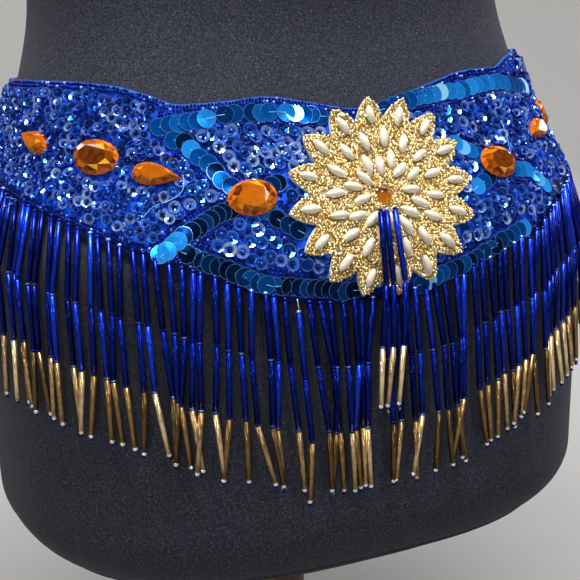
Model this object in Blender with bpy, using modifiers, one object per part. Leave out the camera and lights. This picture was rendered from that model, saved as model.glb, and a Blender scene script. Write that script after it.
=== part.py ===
"""Belly dance hip belt worn on a limbless dress form with a short wooden stand.

Metres, +Z up, front towards -Y. The origin is the centre of the stand's foot on the floor.
"""
import math
import random

import bmesh
import bpy

# --- Stand ---------------------------------------------------------------------------
FOOT_RADIUS = 0.130
FOOT_HEIGHT = 0.018
FOOT_BEVEL = 0.004
POLE_RADIUS = 0.010
POLE_LENGTH = 0.150
BOARD_THICKNESS = 0.006
GAP = 0.0003

# --- Dress form ----------------------------------------------------------------------
FORM_BASE = FOOT_HEIGHT + GAP + POLE_LENGTH + GAP + BOARD_THICKNESS + GAP
FORM_SECTIONS = (
    # height, half width, front depth, back depth, squareness
    (0.038, 0.1700, 0.1350, 0.1438, 2.8),
    (0.100, 0.1720, 0.1375, 0.1463, 2.8),   # seat
    (0.165, 0.1725, 0.1375, 0.1463, 2.8),   # hip
    (0.243, 0.1480, 0.1080, 0.1120, 2.7),
    (0.308, 0.1345, 0.0920, 0.0880, 2.6),   # waist
    (0.380, 0.1410, 0.1000, 0.0900, 2.4),
    (0.480, 0.1580, 0.1340, 0.1000, 2.3),   # bust
    (0.560, 0.1620, 0.1120, 0.1060, 2.3),
    (0.620, 0.1680, 0.0880, 0.0980, 2.3),
    (0.650, 0.1620, 0.0740, 0.0860, 2.3),   # shoulder tip
    (0.672, 0.1180, 0.0650, 0.0740, 2.2),
    (0.692, 0.0760, 0.0570, 0.0640, 2.1),
    (0.712, 0.0580, 0.0545, 0.0560, 2.0),   # neck
    (0.760, 0.0540, 0.0540, 0.0540, 2.0),
)
FORM_ROUND = 0.038            # radius of the turn at the form's lower edge
FORM_BOTTOM_WIDTH = 0.126     # half width of the flat underside
FORM_SEGMENTS = 36
BACK_SQUARENESS = 2.0
CAP_HEIGHT = 0.010

# --- Belt ----------------------------------------------------------------------------
BELT_EDGES = (
    # angle, lower edge, upper edge
    (-180, 0.2120, 0.2620),
    (-120, 0.2120, 0.2620),
    (-80, 0.2080, 0.2615),
    (-60, 0.2000, 0.2605),
    (-47, 0.1900, 0.2577),
    (-40, 0.1825, 0.2529),
    (-34, 0.1755, 0.2475),
    (-27, 0.1675, 0.2478),
    (-19, 0.1570, 0.2494),
    (-10, 0.1525, 0.2456),
    (0, 0.1515, 0.2410),
    (10, 0.1560, 0.2462),
    (20, 0.1650, 0.2528),
    (25, 0.1692, 0.2558),
    (29, 0.1720, 0.2569),
    (33, 0.1772, 0.2570),
    (37, 0.1838, 0.2573),
    (45, 0.1918, 0.2626),
    (60, 0.2000, 0.2660),
    (80, 0.2080, 0.2660),
    (120, 0.2120, 0.2640),
    (180, 0.2120, 0.2620),
)
BELT_CLEARANCE = 0.0010
BELT_THICKNESS = 0.0016
BELT_FACE = BELT_CLEARANCE + BELT_THICKNESS
ROPE_WIDTH = 0.0034           # bead rope sewn along both edges
ROPE_RISE = 0.0010
SIDE_SEAM = math.radians(88)
SEAM_GAP = 0.0004
COLUMN_PITCH = 0.010

# --- Stones ------------------------------------------------------------------------------
STONE_RISE = 0.0050
STONE_GAP = 0.0005
STONE_SEGMENTS = 16
STONES = (
    # name, shape, angle, height, tilt of the long axis
    ("oval_front_right", "oval", -22.2, 0.2019, 0),
    ("teardrop_front_right", "teardrop", -37.3, 0.2145, -12),
    ("oval_side_right", "oval", -48.6, 0.2234, -17),
    ("teardrop_side_right", "teardrop", -65.9, 0.2309, 160),
    ("oval_front_left", "oval", 26.7, 0.2078, 0),
    ("teardrop_front_left", "teardrop", 44.0, 0.2205, 192),
    ("oval_side_left", "oval", 57.5, 0.2283, 17),
    ("teardrop_side_left", "teardrop", 76.0, 0.2352, 20),
)
OVAL_SIZE = (0.0242, 0.0183)
TEARDROP_SIZE = (0.0232, 0.0120)

# --- Medallion -------------------------------------------------------------------------
MEDALLION_ANGLE = math.radians(0.6)
MEDALLION_HEIGHT = 0.1970
MEDALLION_TURN = math.radians(8.5)
MEDALLION_BACK = BELT_FACE + 0.0006
STAND_OFF_ABOVE = 0.0060      # how much farther out the stiff upper petal tips stand
STAND_OFF_BELOW = 0.0022
PETALS = 16
PETAL_TIP = 0.0515
PETAL_NOTCH = 0.0400
PLATE_THICKNESS = 0.0020
PEARL_LENGTH = 0.0110
PEARL_WIDTH = 0.0046
PEARL_RISE = 0.0023
PEARL_RINGS = ((0.0440, 0.5), (0.0290, 0.0), (0.0165, 0.5))   # radius, turn in petal steps
MEDALLION_STEPS = 64
CENTRE_STONE_RADIUS = 0.0044

# --- Fringe ----------------------------------------------------------------------------
STRANDS = 168
SECTORS = 8
TAPE_HEIGHT = 0.0024
STRAND_WIDTH = 0.0023
STRAND_DEPTH = 0.0022
BUGLE = 0.0310
STRAND_LENGTH = 0.0975
STRAND_CLEARANCE = 0.0012     # how much farther out the strands hang than their tape
STRAND_LEAN = 0.0013
STRAND_LIFT = 0.0012
MEDALLION_STRAND_LIFT = 0.0040
MEDALLION_STRAND_SHARE = 0.96 # its strands hang straighter, so they reach less far down
MEDALLION_STRANDS = (         # across the middle at the root, both bead joints and the tip
    (-0.0054, -0.0072, -0.0099, -0.0116),
    (-0.0020, -0.0034, -0.0038, -0.0078),
    (0.0024, 0.0032, 0.0020, -0.0015),
)

# --- Closure ---------------------------------------------------------------------------
PLACKET_WIDTH = 0.024
PLACKET_THICKNESS = 0.0012


def smooth(table, x, column):
    """Cubic curve through a table's column that never overshoots its points."""
    xs = [row[0] for row in table]
    ys = [row[column] for row in table]
    x = min(max(x, xs[0]), xs[-1])
    slopes = [(ys[i + 1] - ys[i]) / (xs[i + 1] - xs[i]) for i in range(len(xs) - 1)]
    tangents = [slopes[0]]
    for before, after in zip(slopes, slopes[1:]):
        product = before * after
        tangents.append(2 * product / (before + after) if product > 0 else 0.0)
    tangents.append(slopes[-1])
    i = max(k for k in range(len(xs) - 1) if xs[k] <= x)
    width = xs[i + 1] - xs[i]
    t = (x - xs[i]) / width
    start = (1 + 2 * t) * (1 - t) ** 2 * ys[i] + t * (1 - t) ** 2 * width * tangents[i]
    end = t * t * (3 - 2 * t) * ys[i + 1] + t * t * (t - 1) * width * tangents[i + 1]
    return start + end


def form_section(height):
    """Half width, front depth, back depth and squareness at a height above the form's base."""
    width, front, back, power = (smooth(FORM_SECTIONS, height, column) for column in (1, 2, 3, 4))
    turn = min(max((FORM_ROUND - height) / FORM_ROUND, 0.0), 1.0)
    full = FORM_SECTIONS[0][1]
    scale = (FORM_BOTTOM_WIDTH + (full - FORM_BOTTOM_WIDTH) * math.sqrt(1 - turn * turn)) / full
    return width * scale, front * scale, back * scale, power


def on_section(angle, height):
    """A point of the form's surface; angle 0 is the front centre and grows towards +X."""
    width, front, back, power = form_section(height)
    side = math.sin(angle)
    ahead = math.cos(angle)
    if ahead <= 0:
        power = BACK_SQUARENESS
    depth = front if ahead > 0 else back
    reach = (abs(side) ** power + abs(ahead) ** power) ** (-1 / power)
    return width * side * reach, -depth * ahead * reach, height


def difference(a, b):
    return tuple(p - q for p, q in zip(a, b))


def size(vector):
    return math.sqrt(sum(value * value for value in vector))


def surface_normal(angle, height):
    step = 0.001
    along = difference(on_section(angle + step, height), on_section(angle - step, height))
    up = difference(on_section(angle, height + step), on_section(angle, height - step))
    cross = (along[1] * up[2] - along[2] * up[1],
             along[2] * up[0] - along[0] * up[2],
             along[0] * up[1] - along[1] * up[0])
    length = size(cross)
    return tuple(value / length for value in cross)


def surface_point(angle, height, offset=0.0):
    """A point moved out from the form by an offset, in the part's own frame."""
    point = on_section(angle, height)
    if offset:
        normal = surface_normal(angle, height)
        point = tuple(value + offset * part for value, part in zip(point, normal))
    return point[0], point[1], point[2] + FORM_BASE


def turn_by(angle, height, distance):
    """The angle reached by going a distance round the form."""
    step = 0.001
    reach = difference(on_section(angle + step, height), on_section(angle - step, height))
    return angle + distance * 2 * step / size(reach)


def climb_by(angle, height, distance):
    """The height reached by going a distance up the form."""
    step = 0.001
    rise = difference(on_section(angle, height + step), on_section(angle, height - step))
    return height + distance * 2 * step / size(rise)


def patch_point(angle, height, across, up, offset):
    """A point of a flat pattern laid on the form around one spot."""
    level = climb_by(angle, height, up)
    return surface_point(turn_by(angle, level, across), level, offset)


def lower_edge(angle):
    return smooth(BELT_EDGES, math.degrees(angle), 1)


def upper_edge(angle):
    return smooth(BELT_EDGES, math.degrees(angle), 2)


def material(name, colour, roughness, metallic=0.0):
    found = bpy.data.materials.get(name)
    if found:
        return found
    made = bpy.data.materials.new(name)
    made.use_nodes = True
    shader = made.node_tree.nodes["Principled BSDF"]
    shader.inputs["Base Color"].default_value = (*colour, 1.0)
    shader.inputs["Roughness"].default_value = roughness
    shader.inputs["Metallic"].default_value = metallic
    made.diffuse_color = (*colour, 1.0)
    return made


def jersey():
    return material("jersey", (0.018, 0.018, 0.021), 0.9)


def beaded_cloth():
    return material("beaded_cloth", (0.010, 0.045, 0.42), 0.3)


def bugle_glass():
    return material("bugle_glass", (0.006, 0.018, 0.33), 0.12)


def gold_pearl():
    return material("gold_pearl", (0.80, 0.62, 0.33), 0.35, 0.3)


def amber():
    return material("amber", (0.85, 0.28, 0.02), 0.06)


def pole_wood():
    return material("pole_wood", (0.23, 0.11, 0.05), 0.5)


def add_object(name, mesh, finish):
    mesh.materials.append(finish)
    made = bpy.data.objects.new(name, mesh)
    part_collection().objects.link(made)
    return made


def part_collection():
    name = "hip_belt_on_dress_form"
    found = bpy.data.collections.get(name)
    if not found:
        found = bpy.data.collections.new(name)
        bpy.context.scene.collection.children.link(found)
    return found


def add_faces(name, points, faces, finish, sharp=40):
    """One closed body from points and faces, with its faces turned out."""
    mesh = bpy.data.meshes.new(name)
    mesh.from_pydata(points, [], faces)
    shaped = bmesh.new()
    shaped.from_mesh(mesh)
    bmesh.ops.triangulate(shaped, faces=[face for face in shaped.faces if len(face.verts) == 4])
    bmesh.ops.recalc_face_normals(shaped, faces=shaped.faces)
    shaped.to_mesh(mesh)
    shaped.free()
    mesh.shade_smooth()
    mesh.set_sharp_from_angle(angle=math.radians(sharp))
    return add_object(name, mesh, finish)


def loft(name, rings, finish):
    """A closed body through rings of equal length, with a flat cap at each end."""
    count = len(rings[0])
    points = [point for ring in rings for point in ring]
    faces = [tuple(range(count)), tuple(range(len(points) - count, len(points)))]
    for row in range(len(rings) - 1):
        for k in range(count):
            a, b = row * count + k, row * count + (k + 1) % count
            faces.append((a, b, b + count, a + count))
    return add_faces(name, points, faces, finish)


def sheet(name, outer, inner, finish):
    """A closed wall between two grids of points of the same shape."""
    rows, columns = len(outer), len(outer[0])
    points = [point for grid in (outer, inner) for row in grid for point in row]
    depth = rows * columns
    faces = []
    for i in range(rows - 1):
        for j in range(columns - 1):
            a = i * columns + j
            quad = (a, a + 1, a + 1 + columns, a + columns)
            faces += [quad, tuple(k + depth for k in reversed(quad))]
    rim = ([j for j in range(columns)]
           + [i * columns + columns - 1 for i in range(1, rows)]
           + [(rows - 1) * columns + j for j in range(columns - 2, -1, -1)]
           + [i * columns for i in range(rows - 2, 0, -1)])
    for a, b in zip(rim, rim[1:] + rim[:1]):
        faces.append((a, b, b + depth, a + depth))
    return add_faces(name, points, faces, finish)


def cylinder(name, radius, height, base, finish, segments=32, bevel=0.0):
    mesh = bpy.data.meshes.new(name)
    turned = bmesh.new()
    bmesh.ops.create_cone(turned, cap_ends=True, segments=segments,
                          radius1=radius, radius2=radius, depth=height)
    turned.to_mesh(mesh)
    turned.free()
    made = add_object(name, mesh, finish)
    made.location = (0.0, 0.0, base + height / 2)
    if bevel:
        edge = made.modifiers.new("Rounded edge", "BEVEL")
        edge.width = bevel
        edge.segments = 2
    mesh.shade_smooth()
    mesh.set_sharp_from_angle(angle=math.radians(40))
    return made


def build_stand():
    cylinder("stand_foot", FOOT_RADIUS, FOOT_HEIGHT, 0.0, pole_wood(), 36, FOOT_BEVEL)
    cylinder("stand_pole", POLE_RADIUS, POLE_LENGTH, FOOT_HEIGHT + GAP, pole_wood(), 20)
    ring = [surface_point(2 * math.pi * k / FORM_SEGMENTS, 0.0) for k in range(FORM_SEGMENTS)]
    top = [(x, y, z - GAP) for x, y, z in ring]
    bottom = [(x, y, z - BOARD_THICKNESS) for x, y, z in top]
    loft("form_board", [bottom, top], pole_wood())


def form_heights():
    corner = [FORM_ROUND * (1 - math.cos(math.radians(angle))) for angle in (0, 25, 45, 65)]
    steps = [0.038, 0.068, 0.100, 0.133, 0.165, 0.186, 0.207, 0.228, 0.248, 0.270, 0.308,
             0.340, 0.375, 0.410, 0.440, 0.465, 0.490, 0.520, 0.560, 0.600, 0.635, 0.650,
             0.665, 0.680, 0.695, 0.712, 0.760]
    return corner + steps


def build_form():
    rings = [[surface_point(2 * math.pi * k / FORM_SEGMENTS, height) for k in range(FORM_SEGMENTS)]
             for height in form_heights()]
    loft("form_body", rings, jersey())
    top = FORM_SECTIONS[-1]
    cylinder("neck_cap", top[1], CAP_HEIGHT, FORM_BASE + top[0] + GAP, jersey(), 24, 0.003)


def belt_rows():
    """Places across the band: share of its height, distance from the edge and rise."""
    half, full = ROPE_WIDTH / 2, ROPE_WIDTH
    return ((0.0, 0.0, 0.0), (0.0, half, ROPE_RISE), (0.0, full, 0.0),
            (0.25, 0.0, 0.0), (0.5, 0.0, 0.0), (0.75, 0.0, 0.0),
            (1.0, -full, 0.0), (1.0, -half, ROPE_RISE), (1.0, 0.0, 0.0))


def belt_panel(name, start, end):
    """A wall of the band between two angles, with a raised rope along both edges."""
    middle = (lower_edge(start) + upper_edge(start)) / 2
    length = abs(end - start) * size(on_section((start + end) / 2, middle)[:2])
    columns = max(8, round(length / COLUMN_PITCH))
    outer, inner = [], []
    for share, inset, rise in belt_rows():
        outer_row, inner_row = [], []
        for k in range(columns + 1):
            angle = start + (end - start) * k / columns
            low, high = lower_edge(angle), upper_edge(angle)
            height = low + (high - low) * share + inset
            outer_row.append(surface_point(angle, height, BELT_FACE + rise))
            inner_row.append(surface_point(angle, height, BELT_CLEARANCE))
        outer.append(outer_row)
        inner.append(inner_row)
    return sheet(name, outer, inner, beaded_cloth())


def build_belt():
    low, back = lower_edge(SIDE_SEAM), lower_edge(math.pi)
    gap = turn_by(SIDE_SEAM, low, SEAM_GAP) - SIDE_SEAM
    end = math.pi - (turn_by(math.pi, back, SEAM_GAP / 2) - math.pi)
    belt_panel("belt_front", -SIDE_SEAM, SIDE_SEAM)
    belt_panel("belt_back_left", SIDE_SEAM + gap, end)
    belt_panel("belt_back_right", -end, -SIDE_SEAM - gap)


def build_closure():
    """Placket over the centre back seam, closed by hook-and-loop tape on its hidden side."""
    face = BELT_FACE + ROPE_RISE + 0.0004
    edge = 0.001
    low, high = lower_edge(math.pi) + edge, upper_edge(math.pi) - edge
    rows = [low + (high - low) * k / 4 for k in range(5)]
    across = [PLACKET_WIDTH * (k / 4 - 0.5) for k in range(5)]

    def grid(offset):
        return [[surface_point(turn_by(math.pi, height, x), height, offset) for x in across]
                for height in rows]

    sheet("closure_placket", grid(face + PLACKET_THICKNESS), grid(face), beaded_cloth())


def oval_outline(turn):
    return OVAL_SIZE[0] / 2 * math.cos(turn), OVAL_SIZE[1] / 2 * math.sin(turn)


def teardrop_outline(turn):
    """Round at one end, drawn out to a point at the other (turn 0)."""
    length, width = TEARDROP_SIZE
    swell = math.sin(turn) * math.sin(turn / 2) ** 1.1 * 1.3
    return length / 2 * math.cos(turn), width / 2 * swell


def build_stone(name, shape, angle, height, tilt):
    """A cut stone lying on the belt: girdle, bevelled crown and flat table."""
    outline = oval_outline if shape == "oval" else teardrop_outline
    angle, tilt = math.radians(angle), math.radians(tilt)
    base = BELT_FACE + STONE_GAP
    rings = []
    for rise, scale in ((0.0, 0.45), (0.0, 0.94), (0.32, 1.0), (0.75, 0.86), (1.0, 0.58)):
        ring = []
        for k in range(STONE_SEGMENTS):
            x, y = outline(2 * math.pi * k / STONE_SEGMENTS)
            across = scale * (x * math.cos(tilt) - y * math.sin(tilt))
            up = scale * (x * math.sin(tilt) + y * math.cos(tilt))
            ring.append(patch_point(angle, height, across, up, base + rise * STONE_RISE))
        rings.append(ring)
    return loft(name, rings, amber())


def petal_reach(turn):
    """Radius of the medallion's outline, pointed at each petal, with a notch at turn 0."""
    step = (turn / (2 * math.pi) * PETALS) % 1.0
    side = abs(2 * step - 1)
    return PETAL_NOTCH + (PETAL_TIP - PETAL_NOTCH) * (1 - side ** 1.5)


def pearl_rise(turn, radius):
    """Height of the nearest pearl at a place of the medallion."""
    step = 2 * math.pi / PETALS
    for ring_radius, shift in PEARL_RINGS:
        nearest = (round(turn / step - shift) + shift) * step
        along = (radius - ring_radius) / (PEARL_LENGTH / 2)
        across = radius * (turn - nearest) / (PEARL_WIDTH / 2)
        inside = 1 - along ** 2 - across ** 2
        if inside > 0:
            return PEARL_RISE * math.sqrt(inside)
    return 0.0


def medallion_point(turn, radius, offset):
    """A point of the medallion's own pattern, whose stiff petals stand off the belt."""
    across = radius * math.sin(turn + MEDALLION_TURN)
    up = radius * math.cos(turn + MEDALLION_TURN)
    stand_off = STAND_OFF_ABOVE if up > 0 else STAND_OFF_BELOW
    return patch_point(MEDALLION_ANGLE, MEDALLION_HEIGHT, across, up,
                       offset + stand_off * (up / PETAL_TIP) ** 2)


def build_medallion():
    """Sixteen-petal star: pearls raised from its face over a plain back."""
    turns = [2 * math.pi * k / MEDALLION_STEPS for k in range(MEDALLION_STEPS)]
    inner_radii = (0.006, 0.0110, 0.0165, 0.0220, 0.0235, 0.0290, 0.0345, 0.0385)
    face_top = MEDALLION_BACK + PLATE_THICKNESS
    rings = [[medallion_point(turn, petal_reach(turn) * scale, MEDALLION_BACK) for turn in turns]
             for scale in (0.35, 0.75, 1.0)]
    rings.append([medallion_point(turn, petal_reach(turn), face_top - 0.0006) for turn in turns])
    for share in (0.75, 0.4):
        ring = []
        for turn in turns:
            radius = 0.0385 + (petal_reach(turn) - 0.0385) * share
            ring.append(medallion_point(turn, radius, face_top + pearl_rise(turn, radius)))
        rings.append(ring)
    for radius in reversed(inner_radii):
        rings.append([medallion_point(turn, radius, face_top + pearl_rise(turn, radius))
                      for turn in turns])
    loft("medallion", rings, gold_pearl())


def build_centre_stone():
    base = MEDALLION_BACK + PLATE_THICKNESS + GAP
    rings = []
    for lift in (0, 30, 55, 75):
        radius = CENTRE_STONE_RADIUS * math.cos(math.radians(lift))
        rise = 0.0030 * math.sin(math.radians(lift))
        rings.append([medallion_point(2 * math.pi * k / 16, radius, base + rise)
                      for k in range(16)])
    loft("medallion_stone", rings, amber())


def edge_angles(count):
    """Angles that part the belt's lower edge into equal lengths."""
    fine = 1440
    angles = [-math.pi + 2 * math.pi * k / fine for k in range(fine + 1)]
    points = [surface_point(angle, lower_edge(angle), BELT_FACE) for angle in angles]
    run = [0.0]
    for a, b in zip(points, points[1:]):
        run.append(run[-1] + size(difference(a, b)))
    found = []
    k = 0
    for n in range(count + 1):
        goal = run[-1] * n / count
        while k < fine - 1 and run[k + 1] < goal:
            k += 1
        share = (goal - run[k]) / (run[k + 1] - run[k])
        found.append(angles[k] + (angles[k + 1] - angles[k]) * share)
    return found


def strand_rings(angle, top, lean, lift):
    """Cross sections down one strand: at its first bead joint and at its tip."""
    inside = BELT_CLEARANCE + STRAND_CLEARANCE
    rings = []
    for drop, share in ((BUGLE, 0.32), (STRAND_LENGTH, 1.0)):
        height = top - drop
        centre = turn_by(angle, height, lean * share)
        near = inside + lift * share
        left = turn_by(centre, height, -STRAND_WIDTH / 2)
        right = turn_by(centre, height, STRAND_WIDTH / 2)
        rings.append([surface_point(left, height, near + STRAND_DEPTH),
                      surface_point(right, height, near + STRAND_DEPTH),
                      surface_point(right, height, near),
                      surface_point(left, height, near)])
    return rings


def fringe(name, columns, strands, finish):
    """A narrow tape whose every second cell runs down into a strand.

    columns: four points each (outer top, outer bottom, inner bottom, inner top).
    strands: the rings of each strand in turn, for cells 1, 3, 5 ...
    """
    points = [point for column in columns for point in column]
    faces = [(0, 1, 2, 3), tuple(len(points) - 1 - k for k in range(4))]
    for cell in range(len(columns) - 1):
        a, b = 4 * cell, 4 * (cell + 1)
        faces += [(a, b, b + 1, a + 1), (a + 2, b + 2, b + 3, a + 3), (a + 3, b + 3, b, a)]
        ring = (a + 1, b + 1, b + 2, a + 2)
        if cell % 2:
            for section in strands[cell // 2]:
                first = len(points)
                points += section
                lower = tuple(range(first, first + 4))
                for k in range(4):
                    n = (k + 1) % 4
                    faces.append((ring[k], ring[n], lower[n], lower[k]))
                ring = lower
        faces.append(ring)
    return add_faces(name, points, faces, finish, 60)


def build_fringe():
    marks = edge_angles(2 * STRANDS)
    chance = random.Random(7)
    per_sector = STRANDS // SECTORS
    for sector in range(SECTORS):
        first = sector * per_sector
        centres = marks[2 * first + 1:2 * (first + per_sector):2]
        start, end = marks[2 * first], marks[2 * (first + per_sector)]
        stops = [turn_by(start, lower_edge(start), SEAM_GAP / 2)]
        strands = []
        for angle in centres:
            edge = lower_edge(angle)
            stops += [turn_by(angle, edge, -STRAND_WIDTH / 2), turn_by(angle, edge, STRAND_WIDTH / 2)]
            lean = chance.uniform(-STRAND_LEAN, STRAND_LEAN)
            lift = chance.uniform(0.0, STRAND_LIFT)
            strands.append(strand_rings(angle, edge - SEAM_GAP - TAPE_HEIGHT, lean, lift))
        stops.append(turn_by(end, lower_edge(end), -SEAM_GAP / 2))
        columns = []
        for angle in stops:
            top = lower_edge(angle) - SEAM_GAP
            low = top - TAPE_HEIGHT
            columns.append([surface_point(angle, top, BELT_FACE),
                            surface_point(angle, low, BELT_FACE),
                            surface_point(angle, low, BELT_CLEARANCE),
                            surface_point(angle, top, BELT_CLEARANCE)])
        fringe("fringe_%d" % (sector + 1), columns, strands, bugle_glass())


def build_medallion_fringe():
    """Three strands hanging from a small head over the medallion's lower half."""
    near = MEDALLION_BACK + PLATE_THICKNESS + PEARL_RISE + 0.0005
    top = MEDALLION_HEIGHT - 0.0065
    half = STRAND_WIDTH / 2
    roots = [strand[0] for strand in MEDALLION_STRANDS]
    stops = [roots[0] - half - 0.001]
    for x in roots:
        stops += [x - half, x + half]
    stops.append(roots[-1] + half + 0.001)

    def place(x, height, offset):
        return surface_point(turn_by(MEDALLION_ANGLE, height, x), height, offset)

    columns = [[place(x, top, near + STRAND_DEPTH), place(x, top - TAPE_HEIGHT, near + STRAND_DEPTH),
                place(x, top - TAPE_HEIGHT, near), place(x, top, near)] for x in stops]
    strands = []
    for strand in MEDALLION_STRANDS:
        rings = []
        for x, drop in zip(strand[1:], (BUGLE, 2 * BUGLE, STRAND_LENGTH)):
            height = top - TAPE_HEIGHT - drop * MEDALLION_STRAND_SHARE
            inside = near + MEDALLION_STRAND_LIFT
            outside = inside + STRAND_DEPTH
            rings.append([place(x - half, height, outside), place(x + half, height, outside),
                          place(x + half, height, inside), place(x - half, height, inside)])
        strands.append(rings)
    fringe("medallion_fringe", columns, strands, bugle_glass())


def clear_scene():
    for found in list(bpy.data.objects):
        bpy.data.objects.remove(found, do_unlink=True)


def main():
    clear_scene()
    build_stand()
    build_form()
    build_belt()
    build_closure()
    for stone in STONES:
        build_stone(*stone)
    build_medallion()
    build_centre_stone()
    build_fringe()
    build_medallion_fringe()


main()
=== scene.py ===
"""Belly dance hip belt on a limbless dress form: beadwork, cloth, form, stand and stage."""

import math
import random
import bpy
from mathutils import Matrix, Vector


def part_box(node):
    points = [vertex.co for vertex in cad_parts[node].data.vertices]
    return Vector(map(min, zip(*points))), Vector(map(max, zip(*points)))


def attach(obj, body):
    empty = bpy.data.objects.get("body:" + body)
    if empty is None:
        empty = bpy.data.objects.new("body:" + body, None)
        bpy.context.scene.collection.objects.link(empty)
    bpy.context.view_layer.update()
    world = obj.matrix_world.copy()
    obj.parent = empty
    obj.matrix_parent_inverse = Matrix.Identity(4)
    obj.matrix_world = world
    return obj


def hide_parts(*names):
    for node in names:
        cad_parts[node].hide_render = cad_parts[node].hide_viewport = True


bl_info = {
    "name": "Beaded Hip Belt",
    "version": (1, 0, 0),
    "blender": (4, 5, 0),
    "location": "View3D > Sidebar > Hip Belt",
    "description": "Makes a beaded hip belt with a bugle fringe on a dress form",
    "category": "Object",
}

import bmesh
import bpy
import numpy as np
from bpy.props import FloatProperty, FloatVectorProperty, IntProperty, PointerProperty
from mathutils import Matrix, Vector

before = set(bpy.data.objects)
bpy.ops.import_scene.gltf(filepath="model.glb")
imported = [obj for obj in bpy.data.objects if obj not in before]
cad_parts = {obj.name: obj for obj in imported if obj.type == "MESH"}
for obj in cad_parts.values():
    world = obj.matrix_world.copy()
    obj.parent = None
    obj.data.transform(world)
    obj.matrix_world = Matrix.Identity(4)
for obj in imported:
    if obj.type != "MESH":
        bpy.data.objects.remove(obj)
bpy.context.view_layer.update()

# --- Dress form ---
FORM_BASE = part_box("form_body")[0][2]
FORM_SECTIONS = (
    # height, half width, front depth, back depth, squareness
    (0.038, 0.1700, 0.1350, 0.1438, 2.8),
    (0.100, 0.1720, 0.1375, 0.1463, 2.8),
    (0.165, 0.1725, 0.1375, 0.1463, 2.8),
    (0.243, 0.1480, 0.1080, 0.1120, 2.7),
    (0.308, 0.1345, 0.0920, 0.0880, 2.6),
    (0.380, 0.1410, 0.1000, 0.0900, 2.4),
    (0.480, 0.1580, 0.1340, 0.1000, 2.3),
    (0.560, 0.1620, 0.1120, 0.1060, 2.3),
    (0.620, 0.1680, 0.0880, 0.0980, 2.3),
    (0.650, 0.1620, 0.0740, 0.0860, 2.3),
    (0.672, 0.1180, 0.0650, 0.0740, 2.2),
    (0.692, 0.0760, 0.0570, 0.0640, 2.1),
    (0.712, 0.0580, 0.0545, 0.0560, 2.0),
    (0.760, 0.0540, 0.0540, 0.0540, 2.0),
)
FORM_ROUND = 0.038
FORM_BOTTOM_WIDTH = 0.126
BACK_SQUARENESS = 2.0
WELT_HEIGHT = 0.0042          # covered cord round the form's lower edge
WELT_RADIUS = 0.0013
CAP_EDGE = 0.001              # of the neck cap's lower edge
CAP_ROUND = 0.003

# --- Stand ---
FOOT_RIM = ((0.006, 0.0), (0.002, 0.0006), (0.0, 0.003))      # in from the rim, up from the floor
FOOT_STEP = 0.004
FOOT_TOP = ((0.012, 0.004), (0.016, 0.002), (0.022, 0.0008), (0.030, 0.0))    # and below the top
FOOT_MIDDLE = 0.020
POLE_EDGE = 0.002
BOARD_EDGE = (
    # lower or upper side, height above it, inset
    (0, 0.0, 0.0012),
    (0, 0.001, 0.0),
    (1, -0.0006, 0.0),
    (1, 0.0, 0.0006),
)

# --- Belt ---
BELT_EDGES = (
    # angle, lower edge, upper edge
    (-180, 0.2120, 0.2620),
    (-120, 0.2120, 0.2620),
    (-80, 0.2080, 0.2615),
    (-60, 0.2000, 0.2605),
    (-47, 0.1900, 0.2577),
    (-40, 0.1825, 0.2529),
    (-34, 0.1755, 0.2475),
    (-27, 0.1675, 0.2478),
    (-19, 0.1570, 0.2494),
    (-10, 0.1525, 0.2456),
    (0, 0.1515, 0.2410),
    (10, 0.1560, 0.2462),
    (20, 0.1650, 0.2528),
    (25, 0.1692, 0.2558),
    (29, 0.1720, 0.2569),
    (33, 0.1772, 0.2570),
    (37, 0.1838, 0.2573),
    (45, 0.1918, 0.2626),
    (60, 0.2000, 0.2660),
    (80, 0.2080, 0.2660),
    (120, 0.2120, 0.2640),
    (180, 0.2120, 0.2620),
)
CLOTH_BACK = 0.0010
CLOTH_THICKNESS = 0.0013
CLOTH_FACE = CLOTH_BACK + CLOTH_THICKNESS
BELT_FACE = 0.0026
SIDE_SEAM = math.radians(88)
SEAM_GAP = 0.0004
PLACKET_WIDTH = 0.024
PLACKET_LIFT = 0.0014
ROPE_INSETS_TOP = (0.0012, 0.0028)
ROPE_INSETS_BOTTOM = (0.0009, 0.0025)

# --- Stones ---
STONES = (
    # name, shape, angle, height, tilt of the long axis, painted light on the table
    ("oval_front_right", "oval", -22.2, 0.2019, 0, 0.45),
    ("teardrop_front_right", "teardrop", -37.3, 0.2145, -12, 0.40),
    ("oval_side_right", "oval", -48.6, 0.2234, -17, 0.06),
    ("teardrop_side_right", "teardrop", -65.9, 0.2309, 160, 0.48),
    ("oval_front_left", "oval", 26.7, 0.2078, 0, 0.09),
    ("teardrop_front_left", "teardrop", 44.0, 0.2205, 192, 0.55),
    ("oval_side_left", "oval", 57.5, 0.2283, 17, 0.35),
    ("teardrop_side_left", "teardrop", 76.0, 0.2352, 20, 0.45),
)
OVAL_SIZE = (0.0242, 0.0183)
TEARDROP_SIZE = (0.0232, 0.0120)
STONE_BASE = 0.0031
STONE_RISE = 0.0050
STONE_SIDES = {"oval": 16, "teardrop": 24}
STONE_LEVELS = (
    # scale, share of the rise, steps turned, share of the sides
    (0.94, 0.0, 0.0, 1.0),
    (1.0, 0.30, 0.0, 1.0),
    (0.84, 0.70, 0.5, 1.0),
    (0.60, 1.0, 0.0, 0.5),
)
FACET_TONES = {
    # least and most tone of each kind of facet: painted highlight and shade of the cut
    "oval": {"back": (0.0, 0.1), "rim": (0.36, 0.62), "crown": (0.0, 0.66), "star": (0.0, 0.88)},
    "teardrop": {"back": (0.0, 0.1), "rim": (0.36, 0.62), "crown": (0.2, 0.6), "star": (0.4, 0.7)},
}

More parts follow.
